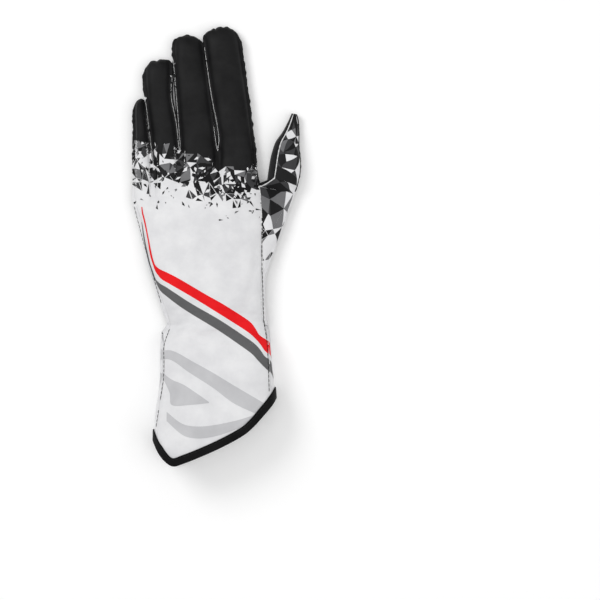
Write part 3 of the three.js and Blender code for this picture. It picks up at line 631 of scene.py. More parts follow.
# Materials
class Look:
    """A material whose colour, roughness and height vary with textures laid in the piece's own space."""

    def __init__(self, name, color, roughness, sheen=0.0, specular=0.5):
        self.material = bpy.data.materials.new(name)
        self.material.use_nodes = True
        self.nodes = self.material.node_tree.nodes
        self.base = self.nodes["Principled BSDF"]
        self.place = self.nodes.new("ShaderNodeTexCoord").outputs["Object"]
        self.feed(self.base, {
            "Base Color": (*color, 1), "Roughness": roughness, "Sheen Weight": sheen, "Sheen Roughness": 0.5,
            "Specular IOR Level": specular,
        })

    def feed(self, node, inputs):
        """Each input by its name: a plain value is set, and another node's output is linked."""
        for name, value in inputs.items():
            if isinstance(value, bpy.types.NodeSocket):
                self.material.node_tree.links.new(value, node.inputs[name])
            else:
                node.inputs[name].default_value = value

    def node(self, kind, inputs, output):
        node = self.nodes.new(kind)
        self.feed(node, inputs)
        return node.outputs[output]

    def noise(self, scale, detail=2.0, roughness=0.5):
        inputs = {"Scale": scale, "Detail": detail, "Roughness": roughness, "Vector": self.place}
        return self.node("ShaderNodeTexNoise", inputs, "Fac")

    def weave(self, pitch, turn=0.0):
        """Two crossed waves, pitch millimetres apart, as the height of a knit or a weave."""
        inputs = {"Rotation": (0.0, 0.0, math.radians(turn)), "Vector": self.place}
        turned = self.node("ShaderNodeMapping", inputs, "Vector")
        both = self.nodes.new("ShaderNodeMath")
        both.operation = "MULTIPLY"
        for n, direction in enumerate(("X", "Y")):
            node = self.nodes.new("ShaderNodeTexWave")
            node.bands_direction = direction
            scale = 2 * math.pi / 20 / (pitch * MM)
            self.feed(node, {
                "Scale": scale, "Distortion": 0.6, "Detail": 1.0, "Detail Scale": 2.0, "Vector": turned,
            })
            self.feed(both, {n: node.outputs["Fac"]})
        return both.outputs["Value"]

    def vary_color(self, factor, dark, light, low=0.35, high=0.65):
        ramp = self.nodes.new("ShaderNodeValToRGB")
        for stop, at, color in zip(ramp.color_ramp.elements, (low, high), (dark, light)):
            stop.position = at
            stop.color = (*color, 1)
        self.feed(ramp, {"Fac": factor})
        self.feed(self.base, {"Base Color": ramp.outputs["Color"]})

    def vary_rough(self, factor, low, high):
        spread = self.node("ShaderNodeMapRange", {"To Min": low, "To Max": high, "Value": factor}, "Result")
        self.feed(self.base, {"Roughness": spread})

    def raise_up(self, *heights):
        """Heights are (socket, strength, depth in millimetres), laid one over the other."""
        last = {}
        for socket, strength, depth in heights:
            inputs = {"Strength": strength, "Distance": depth * MM, "Height": socket, **last}
            last = {"Normal": self.node("ShaderNodeBump", inputs, "Normal")}
        self.feed(self.base, last)


def cloth(name, tones, roughness, sheen, pitch=0.8, turn=0.0, specular=0.25):
    look = Look(name, tones[1], roughness, sheen, specular)
    look.vary_color(look.noise(60.0, 4.0, 0.6), *tones)
    look.vary_rough(look.noise(220.0), roughness - 0.07, roughness + 0.07)
    look.raise_up((look.weave(pitch, turn), 0.35, 0.16), (look.noise(2600.0, 3.0, 0.7), 0.25, 0.08))
    return look.material


def suede():
    look = Look("black_suede", (0.010, 0.010, 0.011), 0.95, 0.25, 0.12)
    nap = look.noise(90.0, 5.0, 0.65)
    look.vary_color(nap, (0.005, 0.005, 0.0055), (0.015, 0.015, 0.016), 0.3, 0.7)
    look.raise_up((nap, 0.15, 0.3), (look.noise(1500.0, 4.0, 0.75), 0.5, 0.14))
    return look.material


def silicone(name, tones, roughness):
    look = Look(name, tones[1], roughness)
    look.vary_color(look.noise(130.0, 3.0, 0.6), *tones)
    look.vary_rough(look.noise(400.0), roughness - 0.08, roughness + 0.12)
    look.raise_up((look.noise(1900.0), 0.2, 0.06))
    return look.material


def thread(name, tones, sheen):
    look = Look(name, tones[1], 0.75, sheen, 0.15)
    look.vary_color(look.noise(900.0), *tones)
    look.raise_up((look.weave(0.25, 40.0), 0.5, 0.06))
    return look.material


# The darkest and the lightest colour of each cloth
WHITE_TONES = ((0.70, 0.70, 0.715), (0.79, 0.79, 0.80))
BLACK_TONES = ((0.005, 0.005, 0.0054), (0.011, 0.011, 0.0115))
DARK_TONES = ((0.03, 0.03, 0.032), (0.042, 0.042, 0.044))
MID_TONES = ((0.13, 0.13, 0.135), (0.17, 0.17, 0.175))
RED_TONES = ((0.74, 0.008, 0.012), (0.84, 0.012, 0.016))
STRIPE_TONES = ((0.105, 0.105, 0.108), (0.125, 0.125, 0.128))
BAND_TONES = ((0.50, 0.50, 0.515), (0.56, 0.56, 0.575))
GUSSET_TONES = ((0.006, 0.006, 0.006), (0.014, 0.014, 0.0145))
TAPE_TONES = ((0.003, 0.003, 0.0032), (0.007, 0.007, 0.0074))
WHITE = cloth("white_stretch_cloth", WHITE_TONES, 0.78, 0.25)
CUFF_WHITE = cloth("white_cuff_cloth", WHITE_TONES, 0.78, 0.25, 0.9, 8.0)
BLACK = cloth("black_print_cloth", BLACK_TONES, 0.48, 0.02, specular=0.12)
PRINT_MATERIALS = [
    cloth("print_black", BLACK_TONES, 0.48, 0.02, specular=0.12),
    cloth("print_dark_grey", DARK_TONES, 0.66, 0.1),
    cloth("print_mid_grey", MID_TONES, 0.68, 0.2),
    cloth("print_white", WHITE_TONES, 0.78, 0.25),
    cloth("print_red", RED_TONES, 0.7, 0.03, specular=0.1),
    cloth("print_stripe_grey", STRIPE_TONES, 0.7, 0.05, specular=0.1),
    cloth("print_band_grey", BAND_TONES, 0.78, 0.2),
]
BLACK_SLOT, DARK_SLOT, MID_SLOT, WHITE_SLOT, RED_SLOT, STRIPE_SLOT, BAND_SLOT = range(7)
GUSSET_CLOTH = cloth("gusset_knit", GUSSET_TONES, 0.8, 0.1, 0.6, specular=0.12)
TAPE = cloth("binding_tape", TAPE_TONES, 0.7, 0.02, 0.7, 30.0, 0.1)
SUEDE = suede()
SILICONE = silicone("grey_silicone", ((0.15, 0.155, 0.165), (0.2, 0.205, 0.215)), 0.42)
SILICONE_LIGHT = silicone("white_silicone", ((0.72, 0.72, 0.73), (0.82, 0.82, 0.83)), 0.45)
DARK_THREAD = thread("dark_thread", ((0.008, 0.008, 0.008), (0.022, 0.022, 0.023)), 0.0)
WHITE_THREAD = thread("white_thread", ((0.6, 0.6, 0.6), (0.85, 0.85, 0.85)), 0.3)


def shares(count):
    return [i / count for i in range(count + 1)]


def add_fingers(sheet, surface, count, turned=False):
    """The four fingers of a sheet, in rows that crowd towards the rounded ends."""
    for k in range(len(FINGERS)):
        across = [column[1] for column in COLUMNS if column[0] == k]
        if k < len(FINGERS) - 1:
            across.append(1.0)
        if turned:
            across.reverse()
        sheet.grid([[surface(k, u, 1 - (1 - t) ** FINGER_CROWD) for u in across] for t in shares(count)])


# Back panel
back = Sheet()
add_fingers(back, back_finger, FINGER_ROWS)
hand_rows = shares(HAND_ROWS) + [1 + t for t in shares(CUFF_ROWS)[1:]]
back.grid([[back_point(column, row) for column in COLUMNS] for row in reversed(hand_rows)])
back.relief(back_relief)
BLACK_OVERLAP = 2.0


def photo_place(px, py):
    return ((px - PHOTO_ORIGIN[0]) * PHOTO_MM, (PHOTO_ORIGIN[1] - py) * PHOTO_MM)


def photo_line(line):
    return [photo_place(*p) for p in line]


def line_y(line, x):
    """Height in plan of a photo line over x."""
    points = photo_line(line)
    if x <= points[0][0]:
        return points[0][1]
    for a, b in zip(points, points[1:]):
        if x <= b[0]:
            return lerp(a[1], b[1], (x - a[0]) / (b[0] - a[0]))
    return points[-1][1]


points, faces = back.solid(CLOTH_WALL)
face_slots = []
for n, face in enumerate(faces):
    x, y, _ = points[face[0]]
    black = n < len(back.faces) and y > line_y(SHARD_TOP, x) - BLACK_OVERLAP
    face_slots.append(1 if black else 0)
add("back_cloth", points, faces, [WHITE, BLACK], "back_cloth", "back_panel", face_slots=face_slots)


# Print: thin layers draped over the cloths in TREES
TREES = [BVHTree.FromPolygons(back.points, back.faces)]
SEAM_BRIDGE = 0.5
RAY_HEIGHT = 80


def cloth_at(x, y):
    """The cloth's surface and its upward direction at a place in plan, or None beside the cloth."""
    for aside in (0.0, SEAM_BRIDGE, -SEAM_BRIDGE):
        for tree in TREES:
            hit, normal, _, _ = tree.ray_cast(Vector((x + aside, y, RAY_HEIGHT)), Vector((0, 0, -1)))
            if hit is not None:
                return (Vector((x, y, hit.z)), normal if normal.z > 0 else -normal)
    return None


def over_back(lift):
    """Reads the point that lies so far above the cloth at a place in plan."""
    def read(x, y):
        found = cloth_at(x, y)
        return found[0] + found[1] * lift if found else None
    return read


class Print:
    """Faces on a cloth, turned outward. A face that would fall farther than steepest is left out."""

    def __init__(self, steepest=3.0, outward=(0, 0, 1)):
        self.points = []
        self.faces = []
        self.slots = []
        self.steepest = steepest
        self.outward = Vector(outward)

    def face(self, corners, slot):
        if any(corner is None for corner in corners):
            return
        heights = [corner.z for corner in corners]
        if max(heights) - min(heights) > self.steepest:
            return
        if (corners[1] - corners[0]).cross(corners[-1] - corners[0]).dot(self.outward) < 0:
            corners = corners[::-1]
        start = len(self.points)
        self.points += corners
        self.faces.append(list(range(start, start + len(corners))))
        self.slots.append(slot)

    def triangle(self, a, b, c, slot, surface, step=1.3):
        longest = max(math.dist(a, b), math.dist(b, c), math.dist(c, a))
        n = max(1, math.ceil(longest / step))
        rows = []
        for i in range(n + 1):
            row = []
            for j in range(n + 1 - i):
                row.append(surface(*(a[m] + (b[m] - a[m]) * i / n + (c[m] - a[m]) * j / n for m in (0, 1))))
            rows.append(row)
        for i in range(n):
            for j in range(n - i):
                self.face([rows[i][j], rows[i + 1][j], rows[i][j + 1]], slot)
                if j < n - i - 1:
                    self.face([rows[i + 1][j], rows[i + 1][j + 1], rows[i][j + 1]], slot)

    def strip(self, rows, slot):
        for a, b in zip(rows, rows[1:]):
            for n in range(len(a) - 1):
                self.face([a[n], a[n + 1], b[n + 1], b[n]], slot)

    def band(self, top, low, slot, surface, steps=14, step=0.9):
        """A band between two lines given by points, each read by its share of its own length."""
        rows = []
        for share in shares(max(2, round(line_length(top) / step))):
            p, q = along(top, share), along(low, share)
            rows.append([surface(*mix(p, q, t)) for t in shares(steps)])
        self.strip(rows, slot)

    def add(self, name, slot, materials=PRINT_MATERIALS):
        add(name, self.points, self.faces, materials, slot, face_slots=self.slots, turn_out=False)


def line_length(line):
    return sum(math.dist(p, q) for p, q in zip(line, line[1:]))


def along(line, share):
    """A point of a line at a share of its length, rounded through its corners."""
    rows = [(0.0, *line[0])]
    for p, q in zip(line, line[1:]):
        rows.append((rows[-1][0] + math.dist(p, q), *q))
    at = share * rows[-1][0]
    return (curve_at(rows, at, 1), curve_at(rows, at, 2))


# Shards: a mosaic of random triangles that thins out from the black fingers down to the white hand, with
# loose kites over it. Their depth is 0 where the black ends and 1 where the shards end.
SHARD_STEP = 4.9
SHARD_SPREAD = 0.62 * SHARD_STEP
SHARD_CORNERS = ((-62.0, 90.0), (60.0, -30.0))
SHARD_ABOVE = -0.06
SHARD_BELOW = 1.9
SHARD_LIFT = 0.06
SHARD_OVERLAP = 1.03
SHARD_SMALLEST = 0.55
SHARD_SIZES = (0.8, 1.2)
SHRINK_FROM = 0.6
SHRINK_REACH = 0.6
CLEAN_BLACK_TO = 0.04
GREY_LIGHTS_TO = 0.4
WHITE_SHARDS_TO = 0.5
WHITE_EXTRA_LIFT = 0.01
GREY_EXTRA_LIFT = 0.02
# The share of dark triangles at each depth
MIXED = [
    (-0.1, 1.0), (0.05, 1.0), (0.16, 0.9), (0.36, 0.76), (0.6, 0.74), (0.8, 0.5), (0.95, 0.2), (1.15, 0.06),
    (1.45, 0.02), (2, 0.0),
]
CLUSTER_SIZE = 8.0
CLUSTER = 0.75
CLUSTER_FROM, CLUSTER_RISE = 0.03, 0.1
CLUSTER_TO, CLUSTER_FALL = 0.75, 0.3
KITE_COUNT = 250
KITE_LIFT = 0.1
KITE_LIFT_STEP = 0.00012
KITE_RANGE = (-54, 46)
KITE_HALF = (0.8, 3.0)
KITE_SLIM = (0.35, 0.9)
KITE_TAIL = (0.2, 1.3)
KITE_NOSE = 1.3
KITE_SMALLEST = 0.62
KITE_DEPTH_POWER = 0.8
KITE_DEPTH_REACH = 1.25
KITE_DEPTH_ABOVE = 0.02
# The slots of the light and dark triangles, each with the roll below which it is taken
LIGHT_SLOTS = [(0.16, MID_SLOT), (1.0, WHITE_SLOT)]
DARK_SLOTS = [(0.7, BLACK_SLOT), (0.87, DARK_SLOT), (1.0, MID_SLOT)]
# The same for the loose kites down to each depth
KITE_SLOTS = [
    (0.35, [(0.34, WHITE_SLOT), (0.6, DARK_SLOT), (0.72, MID_SLOT), (1.0, BLACK_SLOT)]),
    (0.8, [(0.4, WHITE_SLOT), (0.76, BLACK_SLOT), (0.87, MID_SLOT), (1.0, DARK_SLOT)]),
    (9.0, [(0.62, None), (0.87, BLACK_SLOT), (1.0, MID_SLOT)]),
]


def shard_depth(x, y):
    top, low = line_y(SHARD_TOP, x), line_y(SHARD_LOW, x)
    return (top - y) / (top - low)


def first_above(value, rows):
    return next(found for limit, found in rows if value < limit)


def scatter(dice, start, end, step, spread):
    """The points of a grid, row by row, each moved aside at random."""
    result = []
    y = start[1]
    while (end[1] - y) * step[1] > 0:
        x = start[0]
        while x < end[0]:
            moved_x = x + dice.uniform(-spread[0], spread[0])
            result.append(Vector((moved_x, y + dice.uniform(-spread[1], spread[1]))))
            x += step[0]
        y += step[1]
    return result


def triangles(points):
    """The corners and the centre of each triangle between scattered points."""
    verts, _, tris, _, _, _ = delaunay_2d_cdt(points, [], [], 0, 1e-4)
    for tri in tris:
        corners = [verts[n] for n in tri]
        yield corners, [sum(c[m] for c in corners) / 3 for m in (0, 1)]


def shrunk(corners, centre, share):
    return [(lerp(centre[0], c[0], share), lerp(centre[1], c[1], share)) for c in corners]


dice = random.Random(41)
mosaic = scatter(dice, *SHARD_CORNERS, (SHARD_STEP, -SHARD_STEP), (SHARD_SPREAD, SHARD_SPREAD))
shards = Print()
for corners, centre in triangles(mosaic):
    depth = shard_depth(*centre)
    roll, tone, size = dice.random(), dice.random(), dice.random()
    if depth < SHARD_ABOVE or depth > SHARD_BELOW:
        continue
    patch = noise.noise(Vector((centre[0] / CLUSTER_SIZE, centre[1] / CLUSTER_SIZE, 5.0)))
    cluster = CLUSTER * patch * smooth((depth - CLUSTER_FROM) / CLUSTER_RISE)
    if roll > curve_at(MIXED, depth, 1) + cluster * (1 - smooth((depth - CLUSTER_TO) / CLUSTER_FALL)):
        slot = first_above(tone, LIGHT_SLOTS) if depth < GREY_LIGHTS_TO else WHITE_SLOT
    else:
        slot = first_above(tone, DARK_SLOTS) if depth >= CLEAN_BLACK_TO else BLACK_SLOT
    if slot == WHITE_SLOT and depth > WHITE_SHARDS_TO:
        continue
    shrink = SHARD_OVERLAP
    if depth >= SHRINK_FROM:
        smaller = smooth((depth - SHRINK_FROM) / SHRINK_REACH)
        shrink = lerp(1.0, SHARD_SMALLEST, smaller) * lerp(*SHARD_SIZES, size)
    is_grey = slot in (DARK_SLOT, MID_SLOT)
    lift = SHARD_LIFT + WHITE_EXTRA_LIFT * (slot == WHITE_SLOT) + GREY_EXTRA_LIFT * is_grey
    shards.triangle(*shrunk(corners, centre, shrink), slot, over_back(lift))
for n in range(KITE_COUNT):
    cx = dice.uniform(*KITE_RANGE)
    depth = dice.uniform(0.0, 1.0) ** KITE_DEPTH_POWER * KITE_DEPTH_REACH - KITE_DEPTH_ABOVE
    cy = lerp(line_y(SHARD_TOP, cx), line_y(SHARD_LOW, cx), depth)
    tone, turn = dice.random(), dice.uniform(0, 2 * math.pi)
    half = dice.uniform(*KITE_HALF) * lerp(1.0, KITE_SMALLEST, smooth(depth))
    slim, tail = dice.uniform(*KITE_SLIM), dice.uniform(*KITE_TAIL)
    slot = first_above(tone, first_above(depth, KITE_SLOTS))
    if slot is None or (depth < 0.06 and slot == WHITE_SLOT and tone > 0.2):
        continue
    c, s = math.cos(turn), math.sin(turn)
    other = -half * slim * dice.uniform(0.2, 1.0)
    kite = [(half * KITE_NOSE, 0), (0, half * slim), (-half * tail, 0), (0, other)]
    kite = [(cx + c * px - s * py, cy + s * px + c * py) for px, py in kite]
    surface = over_back(KITE_LIFT + KITE_LIFT_STEP * n)
    for end in (1, 2):
        shards.triangle(kite[0], kite[end], kite[end + 1], slot, surface, 1.0)
shards.add("back_shards", "back_cloth")

# Thumb
CROTCH = back_point(LAST, CROTCH_SHARE)
AXIS = math.radians(90 - THUMB_LEAN)
THUMB_FOOT = (CROTCH[0] + THUMB_GAP + THUMB_WIDTH / 2, CROTCH[1] + THUMB_FOOT_LIFT)


def thumb_oval(along_share):
    width, offset, tilt, height_share = (curve_at(THUMB_SECTIONS, along_share, c) for c in (1, 2, 3, 4))
    reach, aside = along_share * THUMB_LENGTH, offset * THUMB_WIDTH
    cx = THUMB_FOOT[0] + reach * math.cos(AXIS) + aside * math.sin(AXIS)
    cy = THUMB_FOOT[1] + reach * math.sin(AXIS) - aside * math.cos(AXIS)
    across = AXIS - math.pi / 2 + math.radians(tilt)
    half = width * THUMB_WIDTH / 2
    dx, dy = half * math.cos(across), half * math.sin(across)
    height = height_share * (THUMB_HEIGHT - LOW)
    lift = THUMB_TIP_LIFT * (THUMB_HEIGHT - LOW)
    underside = LOW + lift * smooth((along_share - THUMB_TIP_FROM) / (1 - THUMB_TIP_FROM))
    return {
        "left": (cx - dx, cy - dy), "right": (cx + dx, cy + dy), "low": underside,
        "middle": underside + THUMB_MIDDLE * height, "top": underside + height,
    }


def thumb_arc(oval, side):
    """The arc from the seam over the back (side 1) or over the palm side (side -1) to the outer side."""
    gap = THUMB_SEAM_GAP / math.dist(oval["left"], oval["right"])
    start, end = turn_at(THUMB_SEAM_SHARE) + side * gap / 2, side * (0.5 - gap / 2)
    return [loop_point(oval, lerp(start, end, t)) for t in shares(ARC_STEPS)]


FAN_ROWS = 10
PALM_ROWS = [CROTCH_SHARE * t for t in shares(12)[:-1]]
PALM_ROWS += [lerp(CROTCH_SHARE, THENAR_END, t) for t in shares(ARC_STEPS)]
PALM_ROWS += [lerp(THENAR_END, 1, t) for t in shares(22)[1:]]


def palm_point(column, row):
    k, u, across = column
    foot = palm_finger(k, u, 0)
    y = lerp(foot[1], WRIST_Y, row)
    section = section_at(y)
    blend = smooth((foot[1] - y) / (WEB_BLEND * PALM_LENGTH))
    x = lerp(foot[0], lerp_x(section, across), blend)
    flat = 2 * FLANGE_WIDTH / section_width(y)
    over, under = row <= CROTCH_SHARE + 1e-9, row >= THENAR_END - 1e-9
    to_thumb = across > 0.5 and not over and not under
    rise = 0.0 if to_thumb else 1 - arch_share(abs(2 * across - 1) / (1 - flat), POWER_LOW)
    on_index_side = column == LAST and over
    drop = BACK_SEAM_HEIGHT - PALM_SEAM_HEIGHT
    edge = back_point(LAST, row)[2] - drop if on_index_side else PALM_SEAM_HEIGHT
    return (x, y, lerp(foot[2], lerp(LOW, edge, rise), 1 if on_index_side and row > 0 else blend))


# Palm panel
palm = Sheet()
add_fingers(palm, palm_finger, FINGER_ROWS // 2, turned=True)
hand = [[palm_point(column, row) for column in reversed(COLUMNS)] for row in PALM_ROWS]
palm.grid(list(reversed(hand)))
first = next(n for n, row in enumerate(PALM_ROWS) if abs(row - CROTCH_SHARE) < 1e-9)
side = [row[0] for row in hand[first:first + ARC_STEPS + 1]]
ovals = [thumb_oval(t) for t in shares(THUMB_ROWS)]
palm_arcs = [thumb_arc(oval, -1) for oval in ovals]
fan = [[mix(p, q, t) for p, q in zip(side, palm_arcs[0])] for t in shares(FAN_ROWS)[:-1]]
palm.grid([list(reversed(row)) for row in fan + palm_arcs])
palm.relief(palm_relief)
add("palm_suede", *palm.solid(SUEDE_WALL), [SUEDE], "suede", "palm_panel")


# Thumb back with the side strip down to the wrist
def quarter(start, end):
    """A quarter of an arch from its top at start down to its foot at end."""
    row = []
    for t in shares(ARC_STEPS):
        angle = math.pi / 2 * t
        x, y = mix(start[:2], end[:2], math.sin(angle))
        row.append((x, y, lerp(end[2], start[2], math.cos(angle))))
    return row


def thumb_seam(row):
    edge, beside = Vector(back_point(LAST, row)), Vector(back_point(COLUMNS[-3], row))
    return tuple(edge + (edge - beside).normalized() * 2 * CLEARANCE)


def palm_side(row):
    x, y, _ = palm_point(LAST, row)
    return (x, y, BACK_SEAM_HEIGHT)


SIDE_ROWS = 40
WRIST_ROWS = 26
TURN_ROWS = 12
foot_arc = thumb_arc(ovals[0], 1)
foot_end, side_end = foot_arc[-1], palm_side(THENAR_END)
thumb_rows = [thumb_arc(oval, 1) for oval in reversed(ovals)]
for n in range(1, TURN_ROWS):
    t = n / TURN_ROWS
    start = mix(foot_arc[0], thumb_seam(CROTCH_SHARE + CROTCH_GAP), t)
    end = mix(foot_end, side_end, t * THUMB_TURN_SHARE)
    straight = quarter((start[0], start[1] - CLOTH_WALL, start[2]), end)
    thumb_rows.append([mix(p, q, smooth(1.6 * t)) for p, q in zip(foot_arc, straight)])
for t in shares(SIDE_ROWS):
    row = lerp(CROTCH_SHARE + CROTCH_GAP, THENAR_END, t)
    thumb_rows.append(quarter(thumb_seam(row), mix(foot_end, side_end, lerp(THUMB_TURN_SHARE, 1, t))))
for t in shares(WRIST_ROWS)[1:]:
    row = lerp(THENAR_END, 1, t)
    thumb_rows.append(quarter(thumb_seam(row), palm_side(row)))
thumb_rows.reverse()
thumb_cloth = Sheet()
thumb_cloth.grid(thumb_rows)
thumb_cloth.relief(thumb_relief)
thumb_points = [[thumb_cloth.at(p) for p in row] for row in thumb_rows]
add("thumb_back_cloth", *thumb_cloth.solid(CLOTH_WALL), [WHITE], "thumb_cloth", "thumb_back")


def over_thumb(x, y):
    """A point just over the thumb cloth: x across the arc and y up from the wrist, both in millimetres."""
    j = min(max(y / THUMB_CLOTH_LENGTH, 0.0), 0.9999) * (len(thumb_points) - 1)
    i = min(max(x / THUMB_CLOTH_WIDTH, 0.0), 0.9999) * ARC_STEPS
    j0, i0 = int(j), int(i)
    p, q = thumb_points[j0][i0], thumb_points[j0][i0 + 1]
    r, s = thumb_points[j0 + 1][i0], thumb_points[j0 + 1][i0 + 1]
    point = p.lerp(q, i - i0).lerp(r.lerp(s, i - i0), j - j0)
    normal = (q - p).cross(r - p)
    if normal.length < 1e-6:
        normal = (s - r).cross(s - q)
    return point + normal.normalized() * SHARD_LIFT


# The thumb's shards: larger triangles over the cloth laid flat, cut to its edges
THUMB_CLOTH_WIDTH = 24.0
middle_line = [row[ARC_STEPS // 2] for row in thumb_points]
THUMB_CLOTH_LENGTH = sum((p - q).length for p, q in zip(middle_line, middle_line[1:]))
THUMB_SHARD_STEP = (7.4, 9.0)
THUMB_SHARD_SPREAD = (4.6, 5.4)
THUMB_SHARD_START = (-6.0, -6.0)
THUMB_SHARD_END = (THUMB_CLOTH_WIDTH + 8, THUMB_CLOTH_LENGTH + 8)
THUMB_SHARDS_FROM, THUMB_SHARDS_REACH = 0.16, 0.3
THUMB_OUTER_FROM, THUMB_OUTER_REACH = 0.55, 0.3
THUMB_FILL = (0.86, 0.5)
THUMB_SHRINK = (0.62, 1.02)
THUMB_SHRINK_REACH = 0.45
THUMB_SLOTS = [(0.6, BLACK_SLOT), (0.8, DARK_SLOT), (1.0, MID_SLOT)]


def clip_box(corners, width, length):
    """The part of a polygon inside the cloth's rectangle."""
    for axis, limit, keep in ((0, 0.0, 1), (0, width, -1), (1, 0.0, 1), (1, length, -1)):
        result = []
        for n, q in enumerate(corners):
            p = corners[n - 1]
            dp, dq = (p[axis] - limit) * keep, (q[axis] - limit) * keep
            if (dp < 0) != (dq < 0):
                result.append(mix(p, q, dp / (dp - dq)))
            if dq >= 0:
                result.append(tuple(q))
        corners = result
        if len(corners) < 3:
            return []
    return corners


dice = random.Random(8)
thumb_print = Print(outward=(1, 0, 1))
mosaic = scatter(dice, THUMB_SHARD_START, THUMB_SHARD_END, THUMB_SHARD_STEP, THUMB_SHARD_SPREAD)
for corners, centre in triangles(mosaic):
    share = centre[1] / THUMB_CLOTH_LENGTH
    tone, keep = dice.random(), dice.random()
    outer = smooth((centre[0] / THUMB_CLOTH_WIDTH - THUMB_OUTER_FROM) / THUMB_OUTER_REACH)
    if keep > smooth((share - THUMB_SHARDS_FROM) / THUMB_SHARDS_REACH) * lerp(*THUMB_FILL, outer):
        continue
    slot = first_above(tone, THUMB_SLOTS)
    shard = shrunk(corners, centre, lerp(*THUMB_SHRINK, smooth(share / THUMB_SHRINK_REACH)))
    clipped = clip_box(shard, THUMB_CLOTH_WIDTH, THUMB_CLOTH_LENGTH)
    for n in range(1, len(clipped) - 1):
        thumb_print.triangle(clipped[0], clipped[n], clipped[n + 1], slot, over_thumb)
thumb_print.add("thumb_shards", "thumb_cloth")


# Gussets between the fingers
GUSSET_START = 0.02
GUSSET_END = 0.84
GUSSET_ROWS = 44
GUSSET_STEPS = 6
GUSSET_BULGE = 0.35
WEB_STEP = 0.19


def gusset(k):
    inset = FLANGE_WIDTH / 2

    def side(finger, u, t):
        x, y = finger_plan(finger, u, t)
        top = back_edge_height(finger, u, t) - CLOTH_WALL - CLEARANCE
        bottom = palm_edge_height(finger, u, t) + SUEDE_WALL + CLEARANCE
        return ((x + (-inset if u else inset), y), bottom, top)

    rows = [lerp(GUSSET_START, GUSSET_END, t) for t in shares(GUSSET_ROWS)]
    up = [side(k + 1, 0, t) for t in rows]
    path = [side(k, 1, t) for t in reversed(rows)]
    web_x, web_y = BOUND_BASE[k + 1]
    for n in range(-4, 5):
        angle = n * WEB_STEP
        place = (web_x + inset * math.sin(angle), web_y - inset * (0.4 + math.cos(angle)))
        path.append((place, up[0][1], up[0][2]))
    path += up
    strips = []
    for j, (at, bottom, top) in enumerate(path):
        before, after = path[max(0, j - 1)][0], path[min(len(path) - 1, j + 1)][0]
        length = math.dist(before, after)
        nx, ny = (after[1] - before[1]) / length, (before[0] - after[0]) / length
        strip = []
        for t in shares(GUSSET_STEPS):
            bulge = GUSSET_BULGE * math.sin(math.pi * t) + CLOTH_WALL / 2
            strip.append((at[0] - nx * bulge, at[1] - ny * bulge, lerp(bottom, top, t)))
        strips.append(strip)
    sheet = Sheet()
    sheet.grid(strips)
    return sheet.solid(-CLOTH_WALL)


for k in range(len(FINGERS) - 1):
    name = f"{FINGERS[k][0]}_{FINGERS[k + 1][0]}_gusset"
    add(name + "_knit", *gusset(k), [GUSSET_CLOTH], "gusset_cloth", name)


# Palm side of the cuff
def cuff_turns(y):
    gap = CUFF_SEAM_GAP / section_width(y)
    lap = CUFF_LAP * (1 - cuff_blend(y)) / section_width(y)
    flat = flange_flat(y)
    left = turn_at(max(0.0, (left_seam_share(y) - flat) / (1 - flat)))
    return (turn_at(RIGHT_SEAM_SHARE) + gap, 1 + left - gap - lap)


CUFF_START = WRIST_Y - 2 * CLEARANCE
FINE_DEPTH = 0.45
FINE_SHARE = 3
GATHER_FADE_FROM, GATHER_FADE_REACH = 0.45, 0.4


def cuff_point(i, row):
    step = i / CUFF_STEPS
    turn = lerp(*cuff_turns(WRIST_Y - CUFF_LENGTH), step)
    turn = lerp(*cuff_turns(lerp(CUFF_START, cloth_end(share_at(turn)), row)), step)
    y = lerp(CUFF_START, cloth_end(share_at(turn)), row)
    section = section_at(y)
    middle = lerp(PALM_SEAM_HEIGHT, section["middle"], cuff_blend(y))
    point = loop_point(section, turn, middle)
    beside = smooth(min(i, CUFF_STEPS - i) / (CUFF_STEPS / 10))
    at_edge = 1 - smooth((row - GATHER_FADE_FROM) / GATHER_FADE_REACH)
    wide = 0.5 - 0.5 * math.cos(2 * math.pi * GATHERS * step)
    fine = 0.5 - 0.5 * math.cos(2 * math.pi * FINE_SHARE * GATHERS * step + 2 * wave(step * 40, y, 31, 9, 30))
    fade = beside * at_edge * math.exp((y - WRIST_Y) / GATHER_REACH)
    pull = fade * (GATHER_DEPTH * wide + FINE_DEPTH * fine) / (section["top"] / 2)
    return mix(point, (lerp_x(section, 0.5), y, section["top"] / 2), pull)


cuff = Sheet()
cuff.grid([[cuff_point(i, row) for i in range(CUFF_STEPS + 1)] for row in reversed(shares(CUFF_ROWS))])
cuff.relief(cuff_relief)
add("cuff_palm_cloth", *cuff.solid(CLOTH_WALL), [CUFF_WHITE], "cuff_cloth", "cuff_palm_panel")
CUFF_TREE = BVHTree.FromPolygons(cuff.points, cuff.faces)

# Stripes and bands, over the back and round to the sides of the cuff
STRIPE_LIFT = 0.1
SIDE_LIFT = 0.12
SIDE_STEPS = 26
stripes = Print(steepest=8.0)
for top, low, slot in (
    (RED_TOP, RED_LOW, RED_SLOT),
    (DARK_TOP, DARK_LOW, STRIPE_SLOT),
    (BAND_A_TOP, BAND_A_LOW, BAND_SLOT),
    (BAND_B_TOP, BAND_B_LOW, BAND_SLOT),
    (WEDGE_TOP, WEDGE_LOW, BAND_SLOT),
):
    stripes.band(photo_line(top), photo_line(low), slot, over_back(STRIPE_LIFT))
TREES.append(CUFF_TREE)


def over_cuff(turn, y):
    """The cuff's palm cloth beside the seams, read by turn and height in plan."""
    inside = Vector((lerp_x(section_at(y), 0.5), y, SIDE_SEAM_HEIGHT))
    hit, normal, _, _ = CUFF_TREE.find_nearest(Vector(loop_point(section_at(y), turn)))
    return hit + normal * (SIDE_LIFT if normal.dot(hit - inside) > 0 else -SIDE_LIFT)


